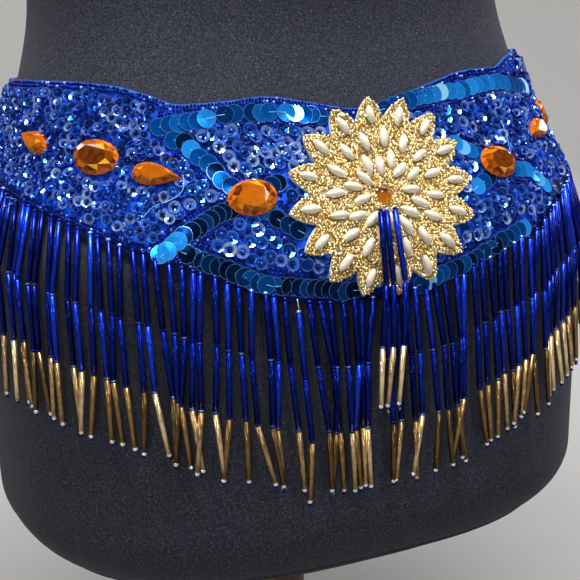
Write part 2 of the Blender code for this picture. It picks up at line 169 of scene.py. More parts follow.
# --- Bands of paillettes ---
PAILLETTE_BANDS = (
    # name, step, lap, shades along the band, places (angle, height)
    # lap 1: each disc lies on the next one; -1: under it; a capital turns one disc round and
    # a space leaves one out.
    # shades: k near black, d dark petrol, p petrol, b blue, a azure, f bright azure, w lightest, a
    # painted flash highlight
    ("upper_right", 0.0047, 1, "PPBPPA dp DBB awpd",
     ((-37.2, 0.2370), (-32.2, 0.2388), (-28.5, 0.2407), (-22.0, 0.2416), (-16.4, 0.2415),
      (-12.0, 0.2395), (-7.7, 0.2378))),
    ("cross_right", 0.0052, -1, "pkfppkdddddbkdk",
     ((-34.7, 0.2302), (-33.0, 0.2298), (-32.3, 0.2272), (-31.2, 0.2240), (-28.9, 0.2183),
      (-26.6, 0.2105), (-24.1, 0.2051), (-22.1, 0.2016), (-19.6, 0.1955), (-18.0, 0.1912),
      (-16.2, 0.1873), (-14.5, 0.1845))),
    ("rise_right", 0.0032, 1, "ffffkkkdkkkkkkkkkddk",
     ((-36.1, 0.1793), (-34.1, 0.1842), (-32.0, 0.1886), (-29.2, 0.1933), (-26.7, 0.1968),
      (-22.1, 0.2020), (-19.2, 0.2064), (-17.4, 0.2085))),
    ("lower_right", 0.0037, -1, "KDkdkkkdpdppKkkdkkkkdk",
     ((-32.4, 0.1795), (-29.4, 0.1751), (-27.1, 0.1721), (-24.3, 0.1678), (-21.9, 0.1645),
      (-19.5, 0.1622), (-16.7, 0.1609), (-13.7, 0.1592), (-10.3, 0.1572), (-6.8, 0.1559))),
    ("upper_left", 0.0056, 1, "ppppbbawaabfaaabbbppppaa",
     ((6.0, 0.2400), (12.5, 0.2437), (18.0, 0.2452), (25.1, 0.2463), (30.6, 0.2484),
      (35.9, 0.2487), (41.3, 0.2472), (46.0, 0.2458), (52.0, 0.2441))),
    ("cross_left", 0.0046, 1, "awbpbbbbbbabwfpk",
     ((18.9, 0.2194), (21.7, 0.2145), (25.5, 0.2086), (28.6, 0.2042), (31.5, 0.2026),
      (33.8, 0.2015), (35.2, 0.1975), (36.9, 0.1925), (40.3, 0.1905))),
    ("rise_left", 0.0048, 1, "fpkkk",
     ((20.3, 0.1970), (21.5, 0.1988), (23.8, 0.2025), (27.2, 0.2082))),
    ("lower_left", 0.0041, 1, "dwppdkpkddpkddppf",
     ((5.6, 0.1545), (10.9, 0.1591), (15.5, 0.1630), (19.0, 0.1667), (22.5, 0.1710),
      (25.3, 0.1732), (28.1, 0.1750))),
)
SHADES = {"k": 0.03, "d": 0.20, "p": 0.42, "b": 0.60, "a": 0.76, "f": 0.92, "w": 1.0}
BAND_HALF = 0.0047
BAND_ROPES = (0.0056, 0.0072)

# --- Medallion ---
MEDALLION_ANGLE = math.radians(0.6)
MEDALLION_HEIGHT = 0.1970
MEDALLION_TURN = math.radians(8.5)
MEDALLION_BACK = 0.0032
STAND_OFF_ABOVE = 0.0060      # how much farther out the stiff upper petal tips stand
STAND_OFF_BELOW = 0.0022
MEDALLION_SKEW = 0.045        # the handmade star is drawn out a little along one diagonal
MEDALLION_SHIFT = (0.0014, 0.0008)
MEDALLION_FACE = MEDALLION_BACK + 0.0020
PETALS = 16
PETAL_TIP = 0.0515
PETAL_NOTCH = 0.0400
PLATE_BACK = (0.02, 0.5, 0.985)     # shares of the outline at which the felt's rings lie
PLATE_TOP = (0.985, 0.95, 0.8, 0.6, 0.4, 0.2, 0.02)
PLATE_EDGE = 0.0004
PLATE_INSET = 0.0006          # of the felt's face below the beads
PEARL_RINGS = (
    # radius at even steps, radius at odd steps, turn in petal steps
    (0.0412, 0.0412, 0.5),
    (0.0286, 0.0286, 0.0),
    (0.0146, 0.0188, 0.5),
)

# --- Fringe ---
STRANDS = 168
TAPE_HEIGHT = 0.0024
STRAND_LEAN = 0.0013
STRAND_LIFT = 0.0012
STRAND_NEAR = 0.0040          # how far the strands' middle hangs from the form
BARE_STRAND = -16.0           # angle of the strand that hangs low on bare thread
BARE_THREAD = 0.0060
ROOT_SPREAD = 0.0007          # how far the strands stray from even steps along the edge
SWING_SPREAD = 0.0013         # sideways, from one joint to the next
DRIFT_SPREAD = 0.0018         # sideways, shared by strands that hang side by side
TIP_SPREAD = 0.0030
DROP_SPREAD = 0.0006
STRAND_BEADS = (
    # stop, stops that give its way, rope beads moved along it, tones, whose light ones are painted
    # glints
    (0, (0, 1), -0.48, (0.2, 0.4, 0.5, 0.95)),
    (1, (1, 2), 0.48, (0.3, 0.45, 0.6, 0.8)),
    (3, (3, 4), 0.48, (0.3, 0.45, 0.6, 0.8)),
    (5, (4, 5), 1.55, (0.1, 0.3, 0.5)),
)
LOOSE_THREADS = (
    # angle, height, distance from the form
    ((-33.0, 0.2135, 0.0055), (-33.1, 0.2064, 0.0055), (-35.1, 0.2023, 0.0055),
     (-37.4, 0.2000, 0.0055), (-38.9, 0.1954, 0.0055)),
    ((-73.4, 0.2031, 0.0055), (-66.0, 0.2019, 0.0055), (-71.7, 0.1977, 0.0055)),
    ((31.7, 0.2279, 0.0055), (31.1, 0.2183, 0.0055), (30.0, 0.2097, 0.0055)),
)
MEDALLION_STRANDS = (
    # across the medallion's middle at the root, both bead joints and the tip
    (-0.0073, -0.0087, -0.0117, -0.0136),
    (-0.0040, -0.0049, -0.0056, -0.0098),
    (0.0006, 0.0017, 0.0002, -0.0035),
)
MEDALLION_STRAND_NEAR = 0.0118
MEDALLION_STRAND_REACH = 0.955

# --- Camera ---
CAMERA_AZIMUTH = math.radians(-24.44)
CAMERA_ELEVATION = math.radians(11.35)
CAMERA_ROLL = math.radians(-2.38)
CAMERA_DISTANCE = 0.7333
CAMERA_LENS = 75.69
CAMERA_AIM = (0.00876, 0.13014)   # across, and above the form's base

# --- Painted light and shade over the beadwork, and the beads' own tones ---
# painted highlight: the cup sequins round this spot are made lighter
PAINTED_HIGHLIGHT_SPOT = (0.60, -13, 7.0, 0.2240, 0.010)    # tone, angle, its spread, height, its spread
# painted shade: the cup sequins round this spot are made darker
PAINTED_SHADE_SPOT = (-0.22, -13, 9.0, 0.1800, 0.012)
# painted highlight: gold bugles hanging near this angle are made lighter
PAINTED_GLINT_STRANDS = (36.5, 2.5)                # angle and its spread
CALM_ARC = (-4, 27, 4.0)                 # middle, half width and fade of the evenly sewn front
CUP_TONE = (0.50, 0.29)                  # middle and spread
# gold beads' tones: partly their own differences, partly painted glints and painted shade
GOLD_BEAD_TONE = (0.52, 0.30)
BLUE_BUGLE_TONE = (0.45, 0.24)
GOLD_BUGLE_TONE = (0.40, 0.28)
# the lightest tones of the navy beads are painted glints; the rest differ at random
ROPE_TONES = {0.1: 0.30, 0.35: 0.34, 0.5: 0.24, 0.72: 0.07, 1.0: 0.05}    # tone and its share
CUP_BEAD_TONES = {0.05: 0.36, 0.3: 0.34, 0.6: 0.25, 1.0: 0.05}

# --- Working sizes ---
SLOPE_STEP = 0.001
RUN_HEIGHT = 0.215            # distance round the form is measured at this height
BACK_RADIUS = 0.14            # of the form at the centre back
FIELD_TRIES = 120000          # places tried for the cup sequins
FIELD_INSETS = (0.0052, 0.0058)   # clear of the lower and the upper ropes
FIELD_GRID = 0.008
FIELD_CLEAR = 0.0080          # of a band's middle line
PLACKET_SEQUIN_LIFT = 0.0028
ROPE_REACH = 179.6            # angle where the edge ropes end at the centre back
ROW_PITCH = 0.87              # of rows of beads packed side by side
MIDDLE_STONE_SIZE = (0.0044, 0.0036)     # radius and rise
MIDDLE_STONE_SIDES = 24
MIDDLE_STONE_LIFTS = (0, 12, 25, 38, 51, 64, 77)
# painted light on the middle stone: lighter low down, darker at its top
MIDDLE_STONE_PAINTED_LIGHT = (0.48, 0.62)         # at half its rise, and how much less at its top
CUP_SPACING = (0.0034, 0.0009)    # at the sides and back, and how much more at the calm front
CUP_LIFT = (0.0004, 0.0012)   # of a cup's middle, and how much more of one that hangs loose
BAND_REACH = 0.08             # no band runs farther than this from its middle
LINE_STEP = 0.0005
PAILLETTE_LIFT = 0.00085
PAILLETTE_LEAN = 5.0          # degrees, from lying on the next one
ROPE_LIFT = 0.0009            # of a paillette that lies over an edge rope
STITCH_LIFT = 0.00012
PANEL_COLUMN = 0.004
PANEL_ROWS = 21
RIPPLE = 0.00018
BOARD_RADIUS = 0.12
JOINT_SHARE = 0.95            # of a rope bead, between two bugles
TIP_DROP = 0.0040             # from a medallion strand's last bugle to its loose thread
TIP_THREAD_STEP = 0.0011
FADE = (0.3, 0.7)             # share of a noise over which its effect runs from none to full
FORM_SIDES = 144
PLATE_SIDES = 192
CUP_LOOSE = 0.32              # least looseness of a cup sequin
CUP_SIZES = (0.92, 1.04)      # least and most of a size's random share, here and below
CUP_SCALE = (0.80, 0.17)      # of its width at the sides, and how much more at the calm front
ROPE_SIZES = (0.92, 1.06)
PEARL_SIZES = (0.94, 1.05)
GOLD_SIZES = (0.82, 1.18)
BEAD_SEAT = 0.42              # of a bead's width, above its sequin
ROPE_CLEAR = (0.004, 0.005)   # of a band's ropes, from the lower and the upper edge
UNDER_STONE = 0.0035          # how far under a stone's edge the paillettes run
UNDER_STAR = 0.010
DISC_STRAY = 0.00028
LEAN_SPREAD = 2.2             # degrees
ROLL_SPREAD = 3.0
STITCH_WIDTH = 0.0003
STAR_SQUASH = 1.05            # the gap left for the star is this much less tall than wide
PEARL_SPREAD = 8.0            # degrees that the pearls stray from pointing outwards
GOLD_PITCH = 0.98             # of gold beads in a row, as a share of their width
GOLD_STRAY = 0.16
MIDDLE_CLEAR = 0.0042         # radius left free of gold beads for the middle stone
LOOSE_RADIUS = 0.00016        # of the threads
BARE_RADIUS = 0.00026
TIP_RADIUS = 0.00034

# --- Floor and lights ---
FLOOR_SIZE = (5.0, 1.5, 2.4)  # radius, radius of the bend and height of the wall
FLOOR_SIDES = 96
WALL_AIM = (4.8, 0.9)         # distance and height that the wall lights point at
BROAD_LIGHTS = (
    # name, azimuth, elevation, distance, size, share of the key's power
    ("Soft key", -14, 76, 1.9, 0.6, 3.8),
    ("Soft back", 172, 60, 2.2, 1.2, 1.6),
)
WALL_LIGHTS = (
    # name, azimuth, share of the key's power
    ("Back wall", 160, 1.9),
    ("Front wall", -20, 0.3),
)
GLINT_DISTANCE = 1.6
GLINT_LIGHTS = (
    # name, azimuth, elevation, size, share of the glint's power
    ("Glint front", 14, 40, 0.26, 1.2),
    ("Glint left", 92, 30, 0.22, 1.2),
    ("Glint right", -76, 30, 0.20, 0.8),
    ("Flash", -32, 16, 0.06, 0.8),
    ("Low side", 104, 12, 0.40, 0.7),
    ("Glint back left", 140, 30, 0.30, 1.0),
    ("Glint back right", 215, 30, 0.30, 1.0),
)


# --- Sizes and colours a user may change ---
def length(label, about, default):
    return FloatProperty(name=label, description=about, default=default, min=0.0,
                         precision=5, subtype="DISTANCE", unit="LENGTH")


def colour(label, about, default):
    return FloatVectorProperty(name=label, description=about, default=default, size=3,
                               min=0.0, max=1.0, subtype="COLOR")


class HipBeltSizes(bpy.types.PropertyGroup):
    """Sizes of the beads, sequins and pearls."""
    cup_width: length("Cup sequin", "Width of a cup sequin", 0.0070)
    cup_depth: length("Cup depth", "How deep a cup sequin is", 0.0011)
    cup_tilt: FloatProperty(name="Cup tilt", description="Most that a loose sequin leans",
                            default=math.radians(34), subtype="ANGLE", unit="ROTATION")
    paillette_width: length("Paillette", "Width of a flat paillette", 0.0092)
    rope_bead: length("Rope bead", "Width of a bead in the edge ropes", 0.0017)
    seed_bead: length("Seed bead", "Width of a bead that holds a sequin", 0.0019)
    bugle_width: length("Bugle width", "Width of a blue bugle", 0.0030)
    gold_width: length("Gold bugle width", "Width of a gold bugle", 0.0028)
    strand_bead: length("Strand bead", "Width of a bead between bugles", 0.0026)
    bugle_length: length("Bugle length", "Length of a blue bugle", 0.0310)
    gold_bugle: length("Gold bugle", "Length of a gold bugle", 0.0292)
    gold_bead: length("Gold bead", "Width of a gold bead on the medallion", 0.00142)
    pearl_length: length("Pearl length", "Length of a pearl", 0.0108)
    pearl_width: length("Pearl width", "Width of a pearl", 0.0047)
    seed: IntProperty(name="Seed", description="Start of every random choice", default=7)


class HipBeltColours(bpy.types.PropertyGroup):
    """Colours of the cloth, glass and metal."""
    cloth: colour("Cloth", "Azure ground cloth", (0.003, 0.064, 0.58))
    sequin: colour("Sequin", "Cup sequins", (0.014, 0.13, 0.72))
    sequin_rim: colour("Sequin rim", "Rim of the cup sequins", (0.17, 0.31, 0.93))
    paillette: colour("Paillette", "Azure paillettes", (0.0, 0.19, 0.85))
    glass: colour("Glass", "Navy beads and bugles", (0.003, 0.016, 0.24))
    gold: colour("Gold", "Gold beads", (0.95, 0.67, 0.25))
    bronze: colour("Gold bugle", "Gold bugles", (0.34, 0.205, 0.075))
    pearl: colour("Pearl", "Ivory pearls", (0.64, 0.565, 0.43))
    felt: colour("Felt", "Edge of the medallion", (0.52, 0.47, 0.36))
    amber: colour("Amber", "Cut stones", (0.37, 0.088, 0.002))
    jersey: colour("Jersey", "Cover of the dress form", (0.025, 0.027, 0.043))
    wood: colour("Wood", "Pole, foot and board", (0.075, 0.036, 0.020))


class HipBeltStage(bpy.types.PropertyGroup):
    """Floor and lights."""
    floor: colour("Floor", "Pale floor and wall", (0.69, 0.67, 0.65))
    sky: FloatProperty(name="Sky", description="Strength of the soft light all round", default=0.12)
    key: FloatProperty(name="Key light", description="Power of the large soft light",
                       default=20.0, subtype="POWER", unit="POWER")
    glint: FloatProperty(name="Glint light", description="Power of each small light",
                         default=4.0, subtype="POWER", unit="POWER")


def sizes():
    return bpy.context.scene.hip_belt_sizes


def colours():
    return bpy.context.scene.hip_belt_colours


# --- The form's surface ---
def curve_through(xs, ys, slopes, x):
    """Smooth curve through ys at xs with the given slopes, read at x."""
    i = np.clip(np.searchsorted(xs, x, side="right") - 1, 0, len(xs) - 2)
    width = xs[i + 1] - xs[i]
    t = (x - xs[i]) / width
    if ys.ndim > 1:
        width, t = width[:, None], t[:, None]
    start = (1 + 2 * t) * (1 - t) ** 2 * ys[i] + t * (1 - t) ** 2 * width * slopes[i]
    end = t * t * (3 - 2 * t) * ys[i + 1] + t * t * (t - 1) * width * slopes[i + 1]
    return start + end


def along_table(table, x, column):
    """Cubic curve through a table's column that never overshoots its points."""
    xs, ys = (np.array([row[k] for row in table], float) for k in (0, column))
    slopes = np.diff(ys) / np.diff(xs)
    product = slopes[:-1] * slopes[1:]
    total = np.where(product > 0, slopes[:-1] + slopes[1:], 1.0)
    inner = np.where(product > 0, 2 * product / total, 0.0)
    return curve_through(xs, ys, np.concatenate([slopes[:1], inner, slopes[-1:]]),
                         np.clip(np.asarray(x, float), xs[0], xs[-1]))


def section_point(angle, height):
    """A point of the form; angle 0 is the front centre and grows towards +X."""
    angle, height = np.broadcast_arrays(np.asarray(angle, float), np.asarray(height, float))
    width, front, back, power = (along_table(FORM_SECTIONS, height, k) for k in (1, 2, 3, 4))
    turn = np.clip((FORM_ROUND - height) / FORM_ROUND, 0.0, 1.0)
    full = FORM_SECTIONS[0][1]
    scale = (FORM_BOTTOM_WIDTH + (full - FORM_BOTTOM_WIDTH) * np.sqrt(1 - turn * turn)) / full
    side, ahead = np.sin(angle), np.cos(angle)
    power = np.where(ahead > 0, power, BACK_SQUARENESS)
    depth = np.where(ahead > 0, front, back) * scale
    reach = (np.abs(side) ** power + np.abs(ahead) ** power) ** (-1 / power)
    return np.stack([width * scale * side * reach, -depth * ahead * reach, height], -1)


def unit(vectors):
    return vectors / np.linalg.norm(vectors, axis=-1, keepdims=True)


def slopes_at(angle, height):
    along = section_point(angle + SLOPE_STEP, height) - section_point(angle - SLOPE_STEP, height)
    up = section_point(angle, height + SLOPE_STEP) - section_point(angle, height - SLOPE_STEP)
    return along / (2 * SLOPE_STEP), up / (2 * SLOPE_STEP)


def axes_at(angle, height):
    """Unit directions round the form, up it and out of it."""
    along, up = slopes_at(angle, height)
    out = unit(np.cross(along, up))
    along = unit(along)
    return along, np.cross(out, along), out


def on_form(angle, height, offset=0.0):
    """Points moved out from the form, in the part's own frame."""
    point = section_point(angle, height)
    point = point + axes_at(angle, height)[2] * np.asarray(offset, float)[..., None]
    point[..., 2] += FORM_BASE
    return point


def walk(angle, height, across, up):
    """The angle and height reached by going up the form and then round it."""
    level = height + up / np.linalg.norm(slopes_at(angle, height)[1], axis=-1)
    return angle + across / np.linalg.norm(slopes_at(angle, level)[0], axis=-1), level


def lower_edge(angle):
    return along_table(BELT_EDGES, np.degrees(angle), 1)


def upper_edge(angle):
    return along_table(BELT_EDGES, np.degrees(angle), 2)


def run_along(points):
    """Distance from a line's first point to each of its points."""
    return np.concatenate([[0.0], np.cumsum(np.linalg.norm(np.diff(points, axis=0), axis=-1))])


RUN_ANGLES = np.linspace(-math.pi, math.pi, 1441)
RUN = run_along(section_point(RUN_ANGLES, RUN_HEIGHT))
RUN -= np.interp(0.0, RUN_ANGLES, RUN)


def to_run(angle):
    """Distance round the form from its front centre, at the belt's middle."""
    return np.interp(angle, RUN_ANGLES, RUN)


def to_angle(run):
    return np.interp(run, RUN, RUN_ANGLES)


def evenly(points, step):
    """Places a step apart along a smooth curve through points, and its directions."""
    points = np.asarray(points, float)
    mark = run_along(points)
    curve = curve_through(mark, points, np.gradient(points, mark, axis=0),
                          np.linspace(0.0, mark[-1], 400))
    run = run_along(curve)
    goals = np.arange(0.0, run[-1] + 1e-9, step)
    behind, places, ahead = (
        np.stack([np.interp(goals + shift, run, column) for column in curve.T], -1)
        for shift in (-step / 4, 0.0, step / 4))
    return places, unit(ahead - behind)


def ring(count):
    """Angles of a whole turn in equal steps."""
    return np.linspace(0, 2 * math.pi, count, endpoint=False)


# --- Node helpers ---
def join(tree, value, socket):
    if isinstance(value, bpy.types.NodeSocket):
        tree.links.new(value, socket)
    elif socket.type == "RGBA":
        socket.default_value = (*value, 1.0)[:4]
    else:
        socket.default_value = value


def feed(tree, node, inputs):
    """Sets a node's inputs, each named in small letters."""
    for key, value in inputs.items():
        label = key.replace("_", " ")
        join(tree, value, next(s for s in node.inputs if s.enabled and s.name.lower() == label))


def put(tree, kind, settings=None, *values, **inputs):
    """The first output of a new node, whose inputs are given in their order or by name."""
    node = tree.nodes.new(kind)
    node.location = (220 * (len(tree.nodes) % 8), -260 * (len(tree.nodes) // 8))
    for key, value in (settings or {}).items():
        setattr(node, key, value)
    for value, socket in zip(values, [s for s in node.inputs if s.enabled]):
        join(tree, value, socket)
    feed(tree, node, inputs)
    return next(s for s in node.outputs if s.enabled)


def maths(tree, operation, *values):
    return put(tree, "ShaderNodeMath", {"operation": operation}, *values)


def times(tree, a, b):
    return maths(tree, "MULTIPLY", a, b)


def vector_maths(tree, operation, *values):
    return put(tree, "ShaderNodeVectorMath", {"operation": operation}, *values)


def add_socket(tree, label, kind, way="INPUT"):
    return tree.interface.new_socket(label, in_out=way, socket_type="NodeSocket" + kind)


# --- Geometry trees ---
def attribute(tree, name, kind):
    return put(tree, "GeometryNodeInputNamedAttribute", {"data_type": kind}, name)


def scatter_tree(name, shape, settings, inputs):
    """A tree that puts a shape on every point, leans each one at random and makes them real.

    inputs: label and default of each size that the shape takes.
    """
    tree = bpy.data.node_groups.new(name, "GeometryNodeTree")
    add_socket(tree, "Points", "Geometry")
    for label, default in inputs:
        add_socket(tree, label, "Float").default_value = default
    add_socket(tree, "Tilt", "Float").subtype = "ANGLE"
    add_socket(tree, "Seed", "Int")
    add_socket(tree, "Material", "Material")
    add_socket(tree, "Mesh", "Geometry", "OUTPUT")
    given = tree.nodes.new("NodeGroupInput").outputs
    lean = put(tree, "FunctionNodeRandomValue", {"data_type": "FLOAT_VECTOR"},
               min=(-1.0, -1.0, -1.0), max=(1.0, 1.0, 1.0), seed=given["Seed"])
    most = times(tree, given["Tilt"], attribute(tree, "loose", "FLOAT"))
    lean = put(tree, "FunctionNodeEulerToRotation", euler=vector_maths(tree, "SCALE", lean, most))
    turn = put(tree, "FunctionNodeRotateRotation", {"rotation_space": "LOCAL"},
               rotation=attribute(tree, "turn", "QUATERNION"), rotate_by=lean)
    placed = put(tree, "GeometryNodeInstanceOnPoints", points=given["Points"],
                 instance=shape(tree, given, **settings), rotation=turn,
                 scale=attribute(tree, "size", "FLOAT_VECTOR"))
    real = put(tree, "GeometryNodeRealizeInstances", geometry=placed)
    finished = put(tree, "GeometryNodeSetMaterial", geometry=real, material=given["Material"])
    tree.links.new(finished, tree.nodes.new("NodeGroupOutput").inputs[0])
    return tree


def half_width(tree, given):
    return times(tree, given["Width"], 0.5)


def position(tree):
    return put(tree, "GeometryNodeInputPosition")


def moved(tree, mesh, **inputs):
    return put(tree, "GeometryNodeSetPosition", geometry=mesh, **inputs)


def shade(tree, mesh, smooth, where=True):
    return put(tree, "GeometryNodeSetShadeSmooth", geometry=mesh, selection=where,
               shade_smooth=smooth)


def hexagon_reach(tree, radius):
    """Distance from the middle measured square to the nearest of six sides."""
    place = position(tree)
    most = 0.0
    for turn in (0.0, math.pi / 3, 2 * math.pi / 3):
        way = (math.cos(turn), math.sin(turn), 0.0)
        reach = maths(tree, "ABSOLUTE", vector_maths(tree, "DOT_PRODUCT", place, way))
        most = maths(tree, "MAXIMUM", most, reach)
    return maths(tree, "DIVIDE", most, radius)


def disc(tree, given, sides, flat, six_sided):
    """A disc whose rim rises by its depth past a flat middle; keeps its reach, 1 at the rim."""
    radius = half_width(tree, given)
    made = put(tree, "GeometryNodeMeshCylinder", {"fill_type": "TRIANGLE_FAN"}, vertices=sides,
               side_segments=1, fill_segments=2, radius=radius, depth=given["Thickness"])
    level = vector_maths(tree, "MULTIPLY", position(tree), (1.0, 1.0, 0.0))
    reach = maths(tree, "DIVIDE", vector_maths(tree, "LENGTH", level), radius)
    made = put(tree, "GeometryNodeStoreNamedAttribute", {"data_type": "FLOAT", "domain": "POINT"},
               geometry=made, name="reach", value=reach)
    bent = hexagon_reach(tree, radius) if six_sided else attribute(tree, "reach", "FLOAT")
    past = maths(tree, "MAXIMUM", maths(tree, "SUBTRACT", bent, flat), 0.0)
    lift = times(tree, maths(tree, "DIVIDE", past, 1.0 - flat), given["Depth"])
    made = moved(tree, made, offset=put(tree, "ShaderNodeCombineXYZ", z=lift))
    return shade(tree, made, False)


def bead(tree, given, kind, **settings):
    return shade(tree, put(tree, kind, radius=half_width(tree, given), **settings), True)


def bugle(tree, given, sides, smooth):
    tube = put(tree, "GeometryNodeMeshCylinder", {"fill_type": "NGON"}, vertices=sides,
               side_segments=1, radius=half_width(tree, given), depth=given["Length"])
    flat = shade(tree, tube, False)
    return shade(tree, flat, True, tube.node.outputs["Side"]) if smooth else flat


def pearl(tree, given):
    """A long pearl drawn out to soft points along its own x axis."""
    ball = put(tree, "GeometryNodeMeshUVSphere", segments=16, rings=12, radius=1.0)
    ball = put(tree, "GeometryNodeTransform", geometry=ball, rotation=(0.0, math.pi / 2, 0.0))
    x, y, z = put(tree, "ShaderNodeSeparateXYZ", vector=position(tree)).node.outputs
    left = maths(tree, "SUBTRACT", 1.0, times(tree, x, x))
    waist = maths(tree, "POWER", maths(tree, "MAXIMUM", left, 0.0), 0.13)
    width = times(tree, half_width(tree, given), waist)
    spot = put(tree, "ShaderNodeCombineXYZ", x=times(tree, x, times(tree, given["Length"], 0.5)),
               y=times(tree, y, width), z=times(tree, z, width))
    return shade(tree, moved(tree, ball, position=spot), True)


TREES = {
    # shape, its own settings, and the sizes it takes
    "Cup sequins": (disc, {"sides": 12, "flat": 0.42, "six_sided": True},
                    (("Width", 0.007), ("Thickness", 0.00018), ("Depth", 0.001))),
    "Paillettes": (disc, {"sides": 24, "flat": 0.1, "six_sided": False},
                   (("Width", 0.0092), ("Thickness", 0.00016), ("Depth", 0.0002))),
    "Small beads": (bead, {"kind": "GeometryNodeMeshIcoSphere", "subdivisions": 1},
                    (("Width", 0.0017),)),
    "Round beads": (bead, {"kind": "GeometryNodeMeshUVSphere", "segments": 7, "rings": 4},
                    (("Width", 0.0019),)),
    "Bugles": (bugle, {"sides": 12, "smooth": True}, (("Width", 0.0026), ("Length", 0.031))),
    "Cut bugles": (bugle, {"sides": 8, "smooth": False}, (("Width", 0.0026), ("Length", 0.0275))),
    "Pearls": (pearl, {}, (("Width", 0.0046), ("Length", 0.0106))),
}


# --- Meshes ---
def linked(name, data):
    made = bpy.data.objects.new(name, data)
    bpy.context.scene.collection.objects.link(made)
    return made


def keep(mesh, name, values, domain="POINT", kind="FLOAT", key="value"):
    """Keeps values on a mesh as an attribute."""
    values = np.asarray(values, np.float32).ravel()
    mesh.attributes.new(name, kind, domain).data.foreach_set(key, values)


def turns(x, z):
    """Quaternions that carry the x and z axes to the given unit directions."""
    y = np.cross(z, x)
    a, b, c = x[:, 0], y[:, 1], z[:, 2]
    w = np.sqrt(np.maximum(1 + a + b + c, 0.0))
    i = np.copysign(np.sqrt(np.maximum(1 + a - b - c, 0.0)), y[:, 2] - z[:, 1])
    j = np.copysign(np.sqrt(np.maximum(1 - a + b - c, 0.0)), z[:, 0] - x[:, 2])
    k = np.copysign(np.sqrt(np.maximum(1 - a - b + c, 0.0)), x[:, 1] - y[:, 0])
    return unit(np.stack([w, i, j, k], -1))


def scatter(name, slot, tree_name, finish, points, x, z, size=1.0, tone=0.5, loose=0.0, seed=0,
            tilt=0.0, nodes=(), **inputs):
    """One piece: a plain mesh of a tree's shape at every point, each with its own tone."""
    count = len(points)
    mesh = bpy.data.meshes.new(name)
    mesh.vertices.add(count)
    mesh.vertices.foreach_set("co", np.asarray(points, np.float32).ravel())
    size = np.asarray(size, float)
    if size.ndim < 2:
        size = np.repeat(np.broadcast_to(size, count)[:, None], 3, axis=1)
    keep(mesh, "turn", turns(x, z), kind="QUATERNION")
    keep(mesh, "size", size, kind="FLOAT_VECTOR", key="vector")
    keep(mesh, "tone", np.broadcast_to(tone, count))
    keep(mesh, "loose", np.broadcast_to(loose, count))
    made = linked(name, mesh)
    tree = bpy.data.node_groups.get(tree_name) or scatter_tree(tree_name, *TREES[tree_name])
    modifier = made.modifiers.new("Shapes", "NODES")
    modifier.node_group = tree
    given = {"Material": finish, "Seed": seed, "Tilt": tilt}
    given.update({key.title(): value for key, value in inputs.items()})
    for item in tree.interface.items_tree:
        if item.in_out == "INPUT" and item.name in given:
            modifier[item.identifier] = given[item.name]
    settle(made)
    add_piece(made, slot, *nodes)


def settle(made):
    """Turns an object's modifiers into a plain mesh without their attributes and empty slot."""
    graph = bpy.context.evaluated_depsgraph_get()
    mesh = bpy.data.meshes.new_from_object(made.evaluated_get(graph))
    made.modifiers.clear()
    old, made.data = made.data, mesh
    mesh.name = made.name
    bpy.data.meshes.remove(old)
    if len(mesh.materials) > 1 and mesh.materials[0] is None:
        mesh.materials.pop(index=0)
    for label in ("turn", "size", "loose"):
        if label in mesh.attributes:
            mesh.attributes.remove(mesh.attributes[label])


def shaped(name, points, faces, finish, smooth=True, sharp=None):
    """A mesh whose faces all look outwards."""
    mesh = bpy.data.meshes.new(name)
    mesh.from_pydata([tuple(point) for point in points], [], faces)
    work = bmesh.new()
    work.from_mesh(mesh)
    bmesh.ops.recalc_face_normals(work, faces=work.faces)
    work.to_mesh(mesh)
    work.free()
    mesh.materials.append(finish)
    if smooth:
        mesh.shade_smooth()
    else:
        mesh.shade_flat()
    if sharp:
        mesh.set_sharp_from_angle(angle=math.radians(sharp))
    return linked(name, mesh)


def loft(name, rings, finish, sharp=None):
    """A closed body through rings of equal length, with a fan at each end."""
    count = len(rings[0])
    points = [point for row in rings for point in row]
    points += [np.mean(rings[0], axis=0), np.mean(rings[-1], axis=0)]
    first, last = len(points) - 2, len(points) - 1
    top = (len(rings) - 1) * count
    faces = []
    for k in range(count):
        n = (k + 1) % count
        faces += [(first, n, k), (last, top + k, top + n)]
        faces += [(a + k, a + n, a + n + count, a + k + count) for a in range(0, top, count)]
    return shaped(name, points, faces, finish, sharp=sharp)


def turned(name, profile, finish, segments=96):
    """A closed turned body; profile holds radius and height from bottom to top."""
    angles = ring(segments)
    rings = [np.stack([r * np.sin(angles), -r * np.cos(angles), np.full(segments, z)], -1)
             for r, z in profile]
    return loft(name, rings, finish, 40)


def rounded(radius, top, step, degrees):
    """Places of a profile round its upper outer corner."""
    return [(radius - step + step * math.cos(math.radians(lift)),
             top - step + step * math.sin(math.radians(lift))) for lift in degrees]


def wall(name, outer, inner, finish, lay):
    """A closed wall between two grids of points, with its lay as a UV map in metres."""
    rows, columns = outer.shape[:2]
    points = np.concatenate([outer.reshape(-1, 3), inner.reshape(-1, 3)])
    depth = rows * columns
    faces = []
    for i in range(rows - 1):
        for j in range(columns - 1):
            a = i * columns + j
            quad = (a, a + 1, a + 1 + columns, a + columns)
            faces += [quad, tuple(k + depth for k in reversed(quad))]
    grid = np.arange(depth).reshape(rows, columns)
    rim = [int(k) for side in (grid[0], grid[1:, -1], grid[-1, -2::-1], grid[-2:0:-1, 0])
           for k in side]
    faces += [(b, a, a + depth, b + depth) for a, b in zip(rim, rim[1:] + rim[:1])]
    made = shaped(name, points, faces, finish, sharp=50)
    layer = made.data.uv_layers.new(name="Lay")
    index = np.empty(len(made.data.loops), np.int32)
    made.data.loops.foreach_get("vertex_index", index)
    both = np.concatenate([lay.reshape(-1, 2)] * 2)
    layer.data.foreach_set("uv", both[index].astype(np.float32).ravel())
    return made


